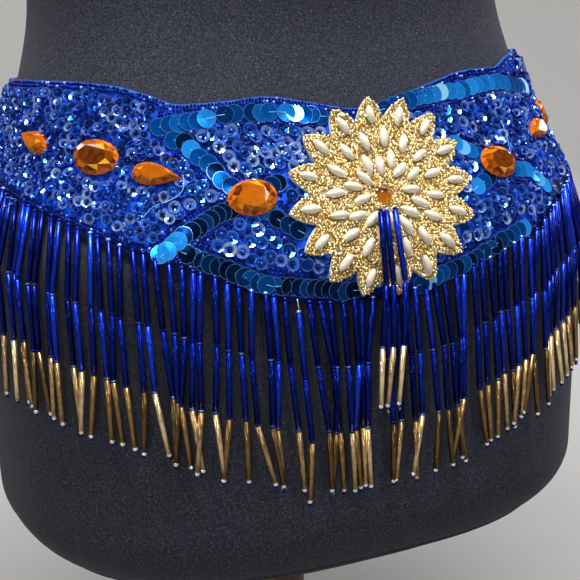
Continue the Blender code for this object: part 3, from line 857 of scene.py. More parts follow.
def add_piece(made, slot, *nodes):
    """Puts a finished piece on the root body and hides the solids it stands for; its slot is not
    used.
    """
    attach(made, "root")
    if nodes:
        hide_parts(*nodes)


def dice(number):
    """The random choices of one piece."""
    return np.random.default_rng(sizes().seed + number)


# --- Materials ---
def material(name, build, *given):
    """The material of this name, made the first time; build gives its shader's inputs."""
    made = bpy.data.materials.get(name)
    if made is None:
        made = bpy.data.materials.new(name)
        made.use_nodes = True
        tree = made.node_tree
        feed(tree, tree.nodes["Principled BSDF"], build(tree, *given))
    return made


def read(tree, name):
    return put(tree, "ShaderNodeAttribute", {"attribute_name": name}).node.outputs["Fac"]


def mix(tree, factor, a, b):
    return put(tree, "ShaderNodeMix", {"data_type": "RGBA"}, factor, a, b)


def spread(tree, value, low, high, to_low=0.0, to_high=1.0):
    """A value from low to high carried over to another range and held there."""
    return put(tree, "ShaderNodeMapRange", {"clamp": True}, value, low, high, to_low, to_high)


def blend(tree, value, low, high, a, b):
    """Colour a where a value is low, b where it is high."""
    return mix(tree, spread(tree, value, low, high), a, b)


def object_place(tree):
    return put(tree, "ShaderNodeTexCoord").node.outputs["Object"]


def noise(tree, place, scale, detail):
    return put(tree, "ShaderNodeTexNoise", vector=place, scale=scale, detail=detail)


def object_noise(tree, scale, detail=2.0, stretch=(1.0, 1.0, 1.0)):
    bent = put(tree, "ShaderNodeMapping", vector=object_place(tree), scale=stretch)
    return noise(tree, bent, scale, detail)


def bump(tree, height, strength, distance):
    return put(tree, "ShaderNodeBump", strength=strength, distance=distance, height=height)


def tinted(base, factor):
    return tuple(min(1.0, channel * factor) for channel in base)


def effect(tree, name, inputs, outputs, build, **values):
    """Outputs of a shader group, made the first time; build gives the values of its outputs."""
    group = bpy.data.node_groups.get(name)
    if group is None:
        group = bpy.data.node_groups.new(name, "ShaderNodeTree")
        for label, kind, default in inputs:
            add_socket(group, label, kind).default_value = default
        for label, kind in outputs:
            add_socket(group, label, kind, "OUTPUT")
        given = group.nodes.new("NodeGroupInput").outputs
        out = group.nodes.new("NodeGroupOutput")
        for value, socket in zip(build(group, given), out.inputs):
            group.links.new(value, socket)
    return put(tree, "ShaderNodeGroup", {"node_tree": group}, **values).node.outputs


def toned(tree, tone, patches, dark, plain, bright):
    """Three colours picked by a bead's own tone, with slow patches over the surface."""
    def build(group, given):
        patch = maths(group, "SUBTRACT", object_noise(group, 400.0), 0.5)
        picked = maths(group, "ADD", given["Tone"], times(group, patch, given["Patches"]))
        low = blend(group, picked, 0.0, 0.5, given["Dark"], given["Plain"])
        return (blend(group, picked, 0.5, 1.0, low, given["Bright"]),)

    inputs = (("Tone", "Float", 0.5), ("Patches", "Float", 0.1), ("Dark", "Color", (0, 0, 0, 1)),
              ("Plain", "Color", (0.5, 0.5, 0.5, 1)), ("Bright", "Color", (1, 1, 1, 1)))
    return effect(tree, "Tone", inputs, (("Color", "Color"),), build, tone=read(tree, tone),
                  patches=patches, dark=dark, plain=plain, bright=bright)["Color"]


def grained(tree, scale):
    """Fine height and a speckle mask for felted or knitted cloth."""
    def build(group, given):
        place = object_place(group)
        specks = noise(group, place, times(group, given["Scale"], 1.7), 1.0)
        return noise(group, place, given["Scale"], 2.0), spread(group, specks, 0.56, 0.74)

    return effect(tree, "Grain", (("Scale", "Float", 1000.0),),
                  (("Height", "Float"), ("Specks", "Float")), build, scale=scale)


def jersey_finish(tree):
    base = colours().jersey
    grain = grained(tree, 900.0)
    soft = object_noise(tree, 18.0, 3.0)
    ground = blend(tree, soft, *FADE, tinted(base, 0.88), tinted(base, 1.12))
    mottled = blend(tree, grain["Height"], 0.38, 0.62, tinted(base, 0.45), ground)
    flecked = mix(tree, times(tree, grain["Specks"], 0.65), mottled, (0.12, 0.125, 0.16))
    return dict(base_color=flecked, roughness=0.92, specular_ior_level=0.25, sheen_weight=0.04,
                sheen_roughness=0.45, normal=bump(tree, grain["Height"], 0.5, 0.0004))


def cloth_finish(tree, depth=1.0):
    """Woven cloth, lighter along its upper edge."""
    base = tinted(colours().cloth, depth)
    lay = put(tree, "ShaderNodeUVMap", {"uv_map": "Lay"})
    weave = [put(tree, "ShaderNodeTexWave", {"bands_direction": axis}, vector=lay, scale=620.0,
                 distortion=0.6).node.outputs["Fac"] for axis in "XY"]
    patch = object_noise(tree, 420.0, 3.0)
    ground = blend(tree, patch, 0.38, 0.62, tinted(base, 0.4), tinted(base, 1.6))
    hemmed = blend(tree, read(tree, "share"), 0.980, 0.992, ground, (0.030, 0.12, 0.50))
    return dict(base_color=hemmed, roughness=0.6, specular_ior_level=0.12,
                normal=bump(tree, maths(tree, "MAXIMUM", *weave), 0.35, 0.0002))


def cup_finish(tree):
    base = colours().sequin
    colour_out = toned(tree, "tone", 0.25, tinted(base, 0.12), base, (0.46, 0.63, 1.0))
    reach = read(tree, "reach")
    # painted shade: darker towards the cup's hollow middle
    painted_hollow_shade = blend(tree, reach, 0.40, 0.70, tinted(base, 0.5), colour_out)
    # lighter rim in broken arcs: partly the rim's own colour, partly a painted highlight
    rim_colour_and_highlight_arcs = spread(tree, object_noise(tree, 420.0, 1.0), 0.36, 0.60, 0.1, 0.95)
    edge = times(tree, spread(tree, reach, 0.84, 0.94), rim_colour_and_highlight_arcs)
    return dict(base_color=mix(tree, edge, painted_hollow_shade, colours().sequin_rim), metallic=0.75,
                specular_ior_level=0.2, specular_tint=(0.2, 0.45, 1.0), coat_weight=0.07,
                coat_roughness=0.05,
                roughness=spread(tree, object_noise(tree, 900.0), *FADE, 0.09, 0.20))


def paillette_finish(tree):
    colour_out = toned(tree, "tone", 0.10, (0.0008, 0.004, 0.020),
                       tinted(colours().paillette, 0.36), (0.02, 0.34, 0.98))
    # painted highlight: the lightest tone turns into a pale flash
    colour_out = blend(tree, read(tree, "tone"), 0.96, 1.0, colour_out, (0.40, 0.85, 1.0))
    # lighter rim: partly the disc's own edge, partly a painted highlight
    edge = times(tree, spread(tree, read(tree, "reach"), 0.94, 0.98), 0.50)
    return dict(base_color=mix(tree, edge, colour_out, (0.20, 0.42, 0.82)), metallic=0.5,
                specular_ior_level=0.2, specular_tint=(0.03, 0.22, 0.9),
                roughness=spread(tree, object_noise(tree, 250.0), *FADE, 0.12, 0.22))


def bead_finish(tree, dark, plain, bright, metallic, roughness, coat, tint=(1.0, 1.0, 1.0)):
    wear = spread(tree, object_noise(tree, 1500.0), *FADE, roughness * 0.7, roughness * 1.3)
    return dict(base_color=toned(tree, "tone", 0.12, dark, plain, bright), metallic=metallic,
                roughness=wear, specular_ior_level=0.3, specular_tint=tint, coat_weight=coat,
                coat_roughness=0.05)


def navy_glass():
    base = colours().glass
    # the bright colour is a painted glint on the beads of the lightest tone
    return material("Navy Glass", bead_finish, tinted(base, 0.25), tinted(base, 1.1),
                    (0.30, 0.46, 1.0), 0.5, 0.18, 0.15, (0.3, 0.4, 1.0))


def blue_bugle_glass():
    base = colours().glass
    return material("Bugle Glass", bead_finish, tinted(base, 0.22), tinted(base, 0.7),
                    (0.010, 0.045, 0.55), 0.8, 0.3, 0.08, (0.05, 0.12, 0.7))


def gold_beads_finish():
    base = colours().gold
    # tone runs from painted shade through gold to a painted glint, with some bead-to-bead difference
    return material("Gold Bead", bead_finish, tinted(base, 0.44), base, (1.0, 0.95, 0.70),
                    0.85, 0.22, 0.3)


def silver_lining():
    return material("Silver Lining", bead_finish, (0.25, 0.2, 0.12), (0.80, 0.74, 0.62),
                    (1.0, 1.0, 1.0), 0.7, 0.2, 0.4)


def gold_bugle_finish(tree):
    """Lined glass: a soft metal lining with small mottles under a thin clear coat."""
    base = colours().bronze
    lining = toned(tree, "tone", 0.5, tinted(base, 0.30), tinted(base, 0.85), (0.92, 0.72, 0.40))
    return dict(base_color=lining, metallic=0.9, roughness=0.29, specular_tint=(0.7, 0.45, 0.2),
                coat_weight=0.2, coat_roughness=0.05)


def pearl_finish(tree):
    cloud = object_noise(tree, 220.0)
    body = blend(tree, cloud, *FADE, tinted(colours().pearl, 0.88), (0.72, 0.65, 0.53))
    return dict(base_color=body, metallic=0.1, roughness=0.20, coat_weight=1.0,
                coat_roughness=0.06)


def felt_finish(tree):
    grain = grained(tree, 1800.0)
    # painted shade: the felt under the gold beads is dark so the gaps between beads look shaded; the
    # rim keeps the felt's colour
    ground = blend(tree, read(tree, "reach"), 0.965, 0.985, (0.36, 0.23, 0.07), colours().felt)
    specks = times(tree, grain["Specks"], 0.4)
    return dict(base_color=mix(tree, specks, ground, (0.9, 0.86, 0.75)), roughness=0.85,
                normal=bump(tree, grain["Height"], 0.6, 0.0003))


def amber_finish(tree):
    # painted light: each facet's tone runs from painted shade through amber to a painted highlight
    facets = toned(tree, "facet", 0.32, (0.045, 0.008, 0.001), colours().amber, (0.95, 0.48, 0.03))
    # painted highlight: the rim facets are painted a bright orange-red
    girdle = times(tree, read(tree, "girdle"), 0.7)
    return dict(base_color=mix(tree, girdle, facets, (0.86, 0.13, 0.004)), roughness=0.06,
                specular_ior_level=0.2)


def thread_finish(tree, dark, light, roughness, sheen):
    """Twisted sewing thread."""
    return dict(base_color=mix(tree, object_noise(tree, 2600.0, 1.0), dark, light),
                roughness=roughness, sheen_weight=sheen)


def blue_thread():
    return material("Blue Thread", thread_finish, (0.06, 0.30, 0.62), (0.26, 0.62, 0.90), 0.5, 0.5)


def white_thread():
    return material("White Thread", thread_finish, (0.42, 0.36, 0.30), (0.80, 0.74, 0.66), 0.6, 0.0)


def wood_finish(tree):
    base = colours().wood
    grain = object_noise(tree, 55.0, 6.0, (1.0, 1.0, 0.08))
    streaks = blend(tree, grain, 0.35, 0.65, tinted(base, 0.45), tinted(base, 1.35))
    rings = spread(tree, object_noise(tree, 14.0), 0.4, 0.7, 0.0, 0.4)
    return dict(base_color=mix(tree, rings, streaks, tinted(base, 0.6)),
                roughness=spread(tree, grain, *FADE, 0.38, 0.55),
                normal=bump(tree, grain, 0.15, 0.0004))


def paper_finish(tree):
    """Pale paper with painted shade: darker near the part."""
    base = bpy.context.scene.hip_belt_stage.floor
    distance = vector_maths(tree, "LENGTH", object_place(tree))
    return dict(base_color=blend(tree, distance, 0.5, 3.4, tinted(base, 0.31), base), roughness=0.9)


# --- Dress form and stand ---
def build_form_skin():
    corner = FORM_ROUND * (1 - np.cos(np.radians(np.linspace(0, 90, 14))))
    welt = WELT_HEIGHT + np.linspace(-1.6, 1.6, 15) * WELT_RADIUS
    plain = np.linspace(FORM_ROUND, FORM_SECTIONS[-1][0], 138)
    heights = np.unique(np.concatenate([corner, welt, plain]).round(6))
    rise = WELT_RADIUS * np.clip(1 - ((heights - WELT_HEIGHT) / WELT_RADIUS) ** 2, 0, None) ** 0.5
    rings = [on_form(ring(FORM_SIDES), height, lift) for height, lift in zip(heights, rise)]
    skin = loft("form_skin", rings, material("Jersey", jersey_finish), 60)
    add_piece(skin, "jersey", "form_body")


def build_neck_cap():
    low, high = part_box("neck_cap")
    radius = high[0]
    profile = [(radius - CAP_EDGE, low[2]), (radius, low[2] + CAP_EDGE),
               (radius, high[2] - CAP_ROUND), *rounded(radius, high[2], CAP_ROUND, (25, 50, 75, 90))]
    made = turned("neck_cover", profile, material("Jersey", jersey_finish))
    add_piece(made, "jersey", "neck_cap")


def build_stand():
    wood = material("Dark Wood", wood_finish)
    low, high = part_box("stand_foot")
    radius, top = high[0], high[2]
    profile = [*((radius - inset, low[2] + rise) for inset, rise in FOOT_RIM),
               (radius, top - 2 * FOOT_STEP),
               *rounded(radius, top - FOOT_STEP, FOOT_STEP, (30, 60, 90)),
               *((radius - inset, top - drop) for inset, drop in FOOT_TOP), (FOOT_MIDDLE, top)]
    add_piece(turned("foot_turned", profile, wood), "pole_wood", "stand_foot")
    low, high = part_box("stand_pole")
    profile = [(high[0], z) for z in (low[2], low[2] + POLE_EDGE, high[2] - POLE_EDGE, high[2])]
    add_piece(turned("pole_turned", profile, wood, 48), "pole_wood", "stand_pole")
    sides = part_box("form_board")
    rings = []
    for side, rise, inset in BOARD_EDGE:
        edge = on_form(ring(FORM_SIDES), 0.0)
        edge[:, :2] *= 1 - inset / BOARD_RADIUS
        edge[:, 2] = sides[side][2] + rise
        rings.append(edge)
    add_piece(loft("board_edge", rings, wood, 40), "pole_wood", "form_board")


# --- Cloth ---
def cloth_panel(name, start, end, node, finish):
    """One cut piece of the band: a thin shell on its solid's form."""
    middle = (lower_edge((start + end) / 2) + upper_edge((start + end) / 2)) / 2
    columns = int(abs(to_run(end) - to_run(start)) / PANEL_COLUMN) + 2
    angles = np.linspace(start, end, columns)
    low, high = lower_edge(angles), upper_edge(angles)
    shares = np.linspace(0.0, 1.0, PANEL_ROWS)[:, None]
    heights = low + (high - low) * shares
    across = np.broadcast_to(angles, heights.shape)
    ripple = RIPPLE * np.sin(across * 47.0 + shares * 5.0) * np.sin(shares * math.pi)
    outer = on_form(across, heights, CLOTH_FACE + ripple)
    lay = np.stack([to_run(across), heights - middle], -1)
    made = wall(name, outer, on_form(across, heights, CLOTH_BACK), finish, lay)
    keep(made.data, "share", np.tile(np.repeat(shares, columns), 2))
    add_piece(made, "beaded_cloth", node)


def build_cloth():
    finish = material("Belt Cloth", cloth_finish)
    gap = walk(SIDE_SEAM, lower_edge(SIDE_SEAM), SEAM_GAP, 0.0)[0] - SIDE_SEAM
    end = math.pi - (walk(math.pi, lower_edge(math.pi), SEAM_GAP / 2, 0.0)[0] - math.pi)
    cloth_panel("belt_cloth_front", -SIDE_SEAM, SIDE_SEAM, "belt_front", finish)
    cloth_panel("belt_cloth_back_left", SIDE_SEAM + gap, end, "belt_back_left", finish)
    cloth_panel("belt_cloth_back_right", -end, -SIDE_SEAM - gap, "belt_back_right", finish)


def build_placket():
    """Strip over the centre back seam."""
    face = BELT_FACE + PLACKET_LIFT
    low, high = lower_edge(math.pi) + 0.001, upper_edge(math.pi) - 0.001
    heights = np.linspace(low, high, 25)[:, None] + np.zeros((1, 13))
    across = PLACKET_WIDTH * np.linspace(-0.5, 0.5, 13)[None, :] + np.zeros((25, 1))
    spot = walk(math.pi, heights, across, 0.0)
    made = wall("placket_cloth", on_form(*spot, face + 0.0012), on_form(*spot, face),
                material("Belt Cloth", cloth_finish), np.stack([across, heights], -1))
    add_piece(made, "beaded_cloth", "closure_placket")


# --- Sequins, ropes and paillettes ---
def run_places(route):
    """A route's angles and heights as distance round the form and height."""
    return [(float(to_run(math.radians(angle))), height) for angle, height in route]


def band_lines():
    """Each band's middle line in small steps."""
    return {name: evenly(run_places(route), LINE_STEP)[0] for name, *_, route in PAILLETTE_BANDS}


def gap_to(points, line):
    """Distance from each point to the nearest place of a line."""
    apart = points[:, None, :] - line[None, :, :]
    return np.sqrt((apart ** 2).sum(-1)).min(1)


def inside_stone(points, margin):
    """Which points lie within a stone's outline grown by a margin."""
    hit = np.zeros(len(points), bool)
    for _, shape, angle, height, tilt, _ in STONES:
        long, wide = OVAL_SIZE if shape == "oval" else TEARDROP_SIZE
        tilt = math.radians(tilt)
        x, y = (points - run_places([(angle, height)])[0]).T
        u = x * math.cos(tilt) + y * math.sin(tilt)
        v = -x * math.sin(tilt) + y * math.cos(tilt)
        hit |= (u / (long / 2 + margin)) ** 2 + (v / (wide / 2 + margin)) ** 2 < 1
    return hit


def petal_reach(turn):
    """Radius of the medallion's outline, pointed at each petal."""
    step = (turn / (2 * math.pi) * PETALS) % 1.0
    side = np.abs(2 * step - 1)
    return PETAL_NOTCH + (PETAL_TIP - PETAL_NOTCH) * (1 - side ** 1.3)


def under_medallion(points, margin):
    x = points[:, 0] - float(to_run(MEDALLION_ANGLE))
    y = (points[:, 1] - MEDALLION_HEIGHT) * STAR_SQUASH
    return np.hypot(x, y) < petal_reach(np.arctan2(x, y) - MEDALLION_TURN) + margin


def keep_apart(points, spacing, taken):
    """Takes points in turn, each at least its own spacing from those already taken."""
    grid, kept = {}, []
    for n, (x, y) in enumerate(points):
        if taken[n]:
            continue
        i, j = int(x // FIELD_GRID), int(y // FIELD_GRID)
        near = (grid.get((i + a, j + b), ()) for a in (-1, 0, 1) for b in (-1, 0, 1))
        if all((x - p) ** 2 + (y - q) ** 2 > spacing[n] ** 2 for group in near for p, q in group):
            grid.setdefault((i, j), []).append((x, y))
            kept.append(n)
    return np.array(kept)


def sequin_field():
    """Angles, heights and evenness of the cup sequins over the whole band."""
    chance = dice(0)
    run = chance.uniform(RUN[0], RUN[-1], FIELD_TRIES)
    angle = to_angle(run)
    low, high = lower_edge(angle), upper_edge(angle)
    height = low + FIELD_INSETS[0] + (high - low - sum(FIELD_INSETS)) * chance.random(FIELD_TRIES)
    points = np.stack([run, height], -1)
    middle, half, fade = CALM_ARC
    past = np.clip(np.abs(np.degrees(angle) - middle) - half, 0, None)
    calm = np.exp(-(past / fade) ** 2)
    taken = inside_stone(points, 0.0018 * (1 - calm)) | under_medallion(points, -0.003)
    for line in band_lines().values():
        near = np.abs(points[:, 0] - line[:, 0].mean()) < BAND_REACH
        taken[near] |= gap_to(points[near], line[::4]) < FIELD_CLEAR
    kept = keep_apart(points, CUP_SPACING[0] + CUP_SPACING[1] * calm, taken)
    return to_angle(points[kept, 0]), points[kept, 1], calm[kept]


def spot_at(spot, angle, height):
    """Tone that a soft spot of painted light adds at each place: painted highlight where its tone is
    above zero, painted shade where below.
    """
    tone, middle, wide, level, tall = spot
    away = ((np.degrees(angle) - middle) / wide) ** 2 + ((height - level) / tall) ** 2
    return tone * np.exp(-away)


def halves(angle):
    """The belt's front and back, each as a label and the places that belong to it."""
    front = np.abs(angle) < SIDE_SEAM
    return ("front", front), ("back", ~front)


def picked_tones(chance, tones, count):
    return chance.choice(list(tones), count, p=list(tones.values()))


def build_cup_sequins():
    angle, height, calm = sequin_field()
    chance = dice(1)
    count = len(angle)
    on_placket = np.abs(np.abs(angle) - math.pi) * BACK_RADIUS < PLACKET_WIDTH / 2
    face = BELT_FACE + np.where(on_placket, PLACKET_SEQUIN_LIFT, 0.0)
    along, up, out = axes_at(angle, height)
    spin = chance.uniform(0, 2 * math.pi, count)[:, None]
    x = along * np.cos(spin) + up * np.sin(spin)
    loose = CUP_LOOSE + (1 - CUP_LOOSE) * (1 - calm)
    lift = CUP_LIFT[0] + loose * CUP_LIFT[1] + chance.uniform(0, 0.0004, count)
    middle = on_form(angle, height, face + lift)
    # painted highlight and painted shade added to the cups' tone
    light = spot_at(PAINTED_HIGHLIGHT_SPOT, angle, height) + spot_at(PAINTED_SHADE_SPOT, angle, height)
    tone = np.clip(chance.normal(*CUP_TONE, count) + light, 0.0, 1.0)
    size = chance.uniform(*CUP_SIZES, count) * (CUP_SCALE[0] + CUP_SCALE[1] * calm)
    beads = picked_tones(chance, CUP_BEAD_TONES, count)
    tops = middle + out * sizes().seed_bead * BEAD_SEAT
    for label, part in halves(angle):
        scatter("cup_sequins_" + label, "beaded_cloth", "Cup sequins",
                material("Cup Sequin", cup_finish), middle[part], x[part], out[part], size[part],
                tone[part], loose[part], sizes().seed, sizes().cup_tilt,
                width=sizes().cup_width, depth=sizes().cup_depth)
        scatter("sequin_beads_" + label, "bugle_glass", "Small beads", navy_glass(), tops[part],
                x[part], out[part], 1.0, beads[part], width=sizes().seed_bead)


def offset_line(line, distance):
    ahead = unit(np.gradient(line, axis=0))
    return line + np.stack([-ahead[:, 1], ahead[:, 0]], -1) * distance


def long_rope(edge, inset):
    angles = np.radians(np.arange(-ROPE_REACH, ROPE_REACH + 0.1, 0.5))
    run = run_along(on_form(angles, edge(angles) + inset, BELT_FACE))
    angle = np.interp(np.arange(0, run[-1], sizes().rope_bead), run, angles)
    return angle, edge(angle) + inset


def band_rope(line, distance, others):
    """Beads beside a band's middle line, clear of the other bands, stones and edges."""
    places = evenly(offset_line(line, distance)[::6], sizes().rope_bead)[0]
    angle, height = to_angle(places[:, 0]), places[:, 1]
    free = ((gap_to(places, others[::3]) > BAND_HALF) & ~inside_stone(places, 0.0004)
            & ~under_medallion(places, -0.004)
            & (height > lower_edge(angle) + ROPE_CLEAR[0])
            & (height < upper_edge(angle) - ROPE_CLEAR[1]))
    return angle[free], height[free]


def build_ropes():
    ropes = [long_rope(upper_edge, -inset) for inset in ROPE_INSETS_TOP]
    ropes += [long_rope(lower_edge, inset) for inset in ROPE_INSETS_BOTTOM]
    lines = band_lines()
    for name, line in lines.items():
        others = np.concatenate([other for key, other in lines.items() if key != name])
        ropes += [band_rope(line, sign * distance, others)
                  for distance in BAND_ROPES for sign in (-1, 1)]
    angle, height = (np.concatenate(part) for part in zip(*ropes))
    chance = dice(2)
    count = len(angle)
    middle = on_form(angle, height, BELT_FACE + 0.0004 + chance.uniform(0, 0.0003, count))
    middle += chance.normal(0, 0.00010, middle.shape)
    along, _, out = axes_at(angle, height)
    tone = picked_tones(chance, ROPE_TONES, count)
    size = chance.uniform(*ROPE_SIZES, count)[:, None] * np.array([[0.9, 1.0, 1.0]])
    for label, part in halves(angle):
        scatter("bead_ropes_" + label, "bugle_glass", "Round beads", navy_glass(), middle[part],
                along[part], out[part], size[part], tone[part], width=sizes().rope_bead)


def lay_paillette(place, way, lap, letter, chance):
    """Middle, x axis, z axis and tone of one disc, and where its stitch shows."""
    place = place + chance.normal(0, DISC_STRAY, 2)
    angle, height = to_angle(place[0]), place[1]
    along, up, out = axes_at(angle, height)
    onward = along * way[0] + up * way[1]
    side = np.cross(out, onward)
    over = -lap if letter.isupper() else lap
    lean = math.radians(over * PAILLETTE_LEAN + chance.normal(0, LEAN_SPREAD))
    roll = math.radians(chance.normal(0, ROLL_SPREAD))
    x = onward * math.cos(lean) + out * math.sin(lean)
    z = unit(np.cross(x, side * math.cos(roll) + out * math.sin(roll)))
    x = unit(x - z * (x * z).sum())
    lift = PAILLETTE_LIFT + ROPE_LIFT * float(height - lower_edge(angle) < 0.0045)
    middle = on_form(angle, height, BELT_FACE + lift + chance.uniform(0, 0.00015))
    stitch = middle - x * sizes().paillette_width / 4 * over + z * STITCH_LIFT
    return middle, x, z, SHADES[letter.lower()] + chance.normal(0, 0.03), stitch


def build_paillettes():
    chance = dice(3)
    discs = []
    for _, step, lap, shades, route in PAILLETTE_BANDS:
        places, ahead = evenly(run_places(route), step)
        hidden = inside_stone(places, -UNDER_STONE) | under_medallion(places, -UNDER_STAR)
        discs += [lay_paillette(place, way, lap, shades[n % len(shades)], chance)
                  for n, (place, way) in enumerate(zip(places, ahead))
                  if not hidden[n] and shades[n % len(shades)] != " "]
    middle, x, z, tone, stitch = (np.array(part) for part in zip(*discs))
    width = sizes().paillette_width
    scatter("paillettes", "beaded_cloth", "Paillettes", material("Paillette", paillette_finish),
            middle, x, z, 1.0, np.clip(tone, 0, 1), width=width)
    scatter("paillette_stitches", "beaded_cloth", "Cut bugles", blue_thread(), stitch, z, x,
            width=STITCH_WIDTH, length=width / 2)


# --- Stones ---
def stone_outline(shape, turn):
    if shape == "oval":
        return OVAL_SIZE[0] / 2 * math.cos(turn), OVAL_SIZE[1] / 2 * math.sin(turn)
    swell = math.sin(turn) * math.sin(turn / 2) ** 1.1 * 1.3
    return TEARDROP_SIZE[0] / 2 * math.cos(turn), TEARDROP_SIZE[1] / 2 * swell


def build_stone(name, shape, angle, height, tilt, table_painted_light):
    """A cut stone: girdle, a crown of kite and triangle facets, and a flat table."""
    angle, tilt = math.radians(angle), math.radians(tilt)
    sides = STONE_SIDES[shape]
    points, starts = [], []
    for scale, rise, shift, share in STONE_LEVELS:
        starts.append(len(points))
        count = int(sides * share)
        for k in range(count):
            x, y = stone_outline(shape, 2 * math.pi * (k + shift) / count)
            spot = walk(angle, height, scale * (x * math.cos(tilt) - y * math.sin(tilt)),
                        scale * (x * math.sin(tilt) + y * math.cos(tilt)))
            points.append(on_form(*spot, STONE_BASE + rise * STONE_RISE))
    faces, kinds = [tuple(reversed(range(sides)))], ["back"]
    base, girdle, crown, table = starts
    for k in range(sides):
        n = (k + 1) % sides
        faces += [(base + k, base + n, girdle + n, girdle + k),
                  (girdle + k, girdle + n, crown + k), (girdle + n, crown + n, crown + k)]
        kinds += ["rim", "rim", "crown"]
    for k in range(sides // 2):
        n = (k + 1) % (sides // 2)
        before, a, b = (crown + (2 * k + step) % sides for step in (-1, 0, 1))
        faces += [(table + k, before, a), (table + k, a, b), (table + k, b, table + n)]
        kinds += ["crown", "crown", "star"]
    faces.append(tuple(table + k for k in range(sides // 2)))
    kinds.append("table")
    made = shaped(name + "_cut", points, faces, material("Amber", amber_finish), smooth=False)
    # painted highlight and shade: a random tone for each facet, a set one for the table
    chance = random.Random(name)
    ranges = {**FACET_TONES[shape], "table": (table_painted_light, table_painted_light)}
    keep(made.data, "facet", [chance.uniform(*ranges[kind]) for kind in kinds], "FACE")
    keep(made.data, "girdle", [kind == "rim" for kind in kinds], "FACE")
    add_piece(made, "amber", name)


# --- Medallion ---
def medallion_spot(turn, radius, offset=0.0):
    """Angle, height and offset of a place of the medallion, whose petals stand off the belt."""
    across, up = radius * np.sin(turn + MEDALLION_TURN), radius * np.cos(turn + MEDALLION_TURN)
    stand_off = np.where(up > 0, STAND_OFF_ABOVE, STAND_OFF_BELOW) * (up / PETAL_TIP) ** 2
    place = walk(MEDALLION_ANGLE, MEDALLION_HEIGHT,
                 across + MEDALLION_SKEW * up + MEDALLION_SHIFT[0],
                 up + MEDALLION_SKEW * across + MEDALLION_SHIFT[1])
    return (*place, offset + stand_off)


def build_medallion_plate():
    top = MEDALLION_FACE - PLATE_INSET
    levels = [(share, MEDALLION_BACK) for share in PLATE_BACK]
    levels += [(1.0, MEDALLION_BACK + PLATE_EDGE), (1.0, top - PLATE_EDGE)]
    levels += [(share, top) for share in PLATE_TOP]
    turn = ring(PLATE_SIDES)
    rings = [on_form(*medallion_spot(turn, petal_reach(turn) * share, offset))
             for share, offset in levels]
    made = loft("medallion_felt", rings, material("Medallion Felt", felt_finish), 50)
    shares = np.repeat([share for share, _ in levels], PLATE_SIDES)
    keep(made.data, "reach", np.concatenate([shares, [0.0, 0.0]]))
    add_piece(made, "gold_pearl", "medallion")


def pearl_places():
    """Turn and radius of every pearl."""
    step = 2 * math.pi / PETALS
    return np.array([((k + shift) * step, even if k % 2 else odd)
                     for even, odd, shift in PEARL_RINGS for k in range(PETALS)])


def build_pearls():
    chance = dice(4)
    turn, radius = pearl_places().T
    count = len(turn)
    radius = radius + chance.normal(0, 0.0007, count)
    angle, height, offset = medallion_spot(turn, radius, MEDALLION_FACE + 0.0006)
    along, up, out = axes_at(angle, height)
    swing = (turn + MEDALLION_TURN + np.radians(chance.normal(0, PEARL_SPREAD, count)))[:, None]
    scatter("pearls", "gold_pearl", "Pearls", material("Pearl", pearl_finish),
            on_form(angle, height, offset), along * np.sin(swing) + up * np.cos(swing), out,
            chance.uniform(*PEARL_SIZES, count), width=sizes().pearl_width,
            length=sizes().pearl_length)


def build_gold_beads():
    """Gold beads packed over the medallion, clear of the pearls and the middle stone."""
    chance = dice(5)
    pitch = sizes().gold_bead * GOLD_PITCH
    rows = int(2 * PETAL_TIP / (pitch * ROW_PITCH)) + 2
    spots = [((i + (j % 2) / 2 - rows / 2) * pitch, (j - rows / 2) * pitch * ROW_PITCH)
             for j in range(rows) for i in range(rows)]
    x, y = (np.array(spots) + chance.normal(0, pitch * GOLD_STRAY, (len(spots), 2))).T
    turn, radius = np.arctan2(x, y), np.hypot(x, y)
    free = (radius < petal_reach(turn) - 0.0001) & (radius > MIDDLE_CLEAR)
    for pearl_turn, pearl_radius in pearl_places():
        u = x * math.sin(pearl_turn) + y * math.cos(pearl_turn) - pearl_radius
        v = x * math.cos(pearl_turn) - y * math.sin(pearl_turn)
        free &= (u / (sizes().pearl_length / 2)) ** 2 + (v / (sizes().pearl_width / 2)) ** 2 > 1
    turn, radius = turn[free], radius[free]
    count = len(turn)
    face = MEDALLION_FACE - 0.0003 + chance.uniform(0, 0.0007, count)
    angle, height, offset = medallion_spot(turn, radius, face)
    along, _, out = axes_at(angle, height)
    tone = np.clip(chance.normal(*GOLD_BEAD_TONE, count), 0, 1)
    scatter("gold_beads", "gold_pearl", "Round beads", gold_beads_finish(),
            on_form(angle, height, offset), along, out, chance.uniform(*GOLD_SIZES, count), tone,
            1.0, sizes().seed, 0.6, width=sizes().gold_bead)


def build_middle_stone():
    radius, rise = MIDDLE_STONE_SIZE
    rings = []
    round_it = ring(MIDDLE_STONE_SIDES)
    for lift in MIDDLE_STONE_LIFTS:
        turn = math.radians(lift)
        across, up = (radius * math.cos(turn) * side for side in (np.sin(round_it), np.cos(round_it)))
        spot = walk(MEDALLION_ANGLE, MEDALLION_HEIGHT, across, up)
        rings.append(on_form(*spot, MEDALLION_FACE - 0.0004 + rise * math.sin(turn)))
    made = loft("middle_stone", rings, material("Amber", amber_finish), 30)
    heights = np.array([vertex.co.z for vertex in made.data.vertices])
    low, high = heights.min(), heights.max()
    # painted light: the stone's tone is higher at its bottom and lower at its top
    middle, less = MIDDLE_STONE_PAINTED_LIGHT
    keep(made.data, "facet", middle - less * (2 * heights - low - high) / (high - low))
    add_piece(made, "amber", "medallion_stone")


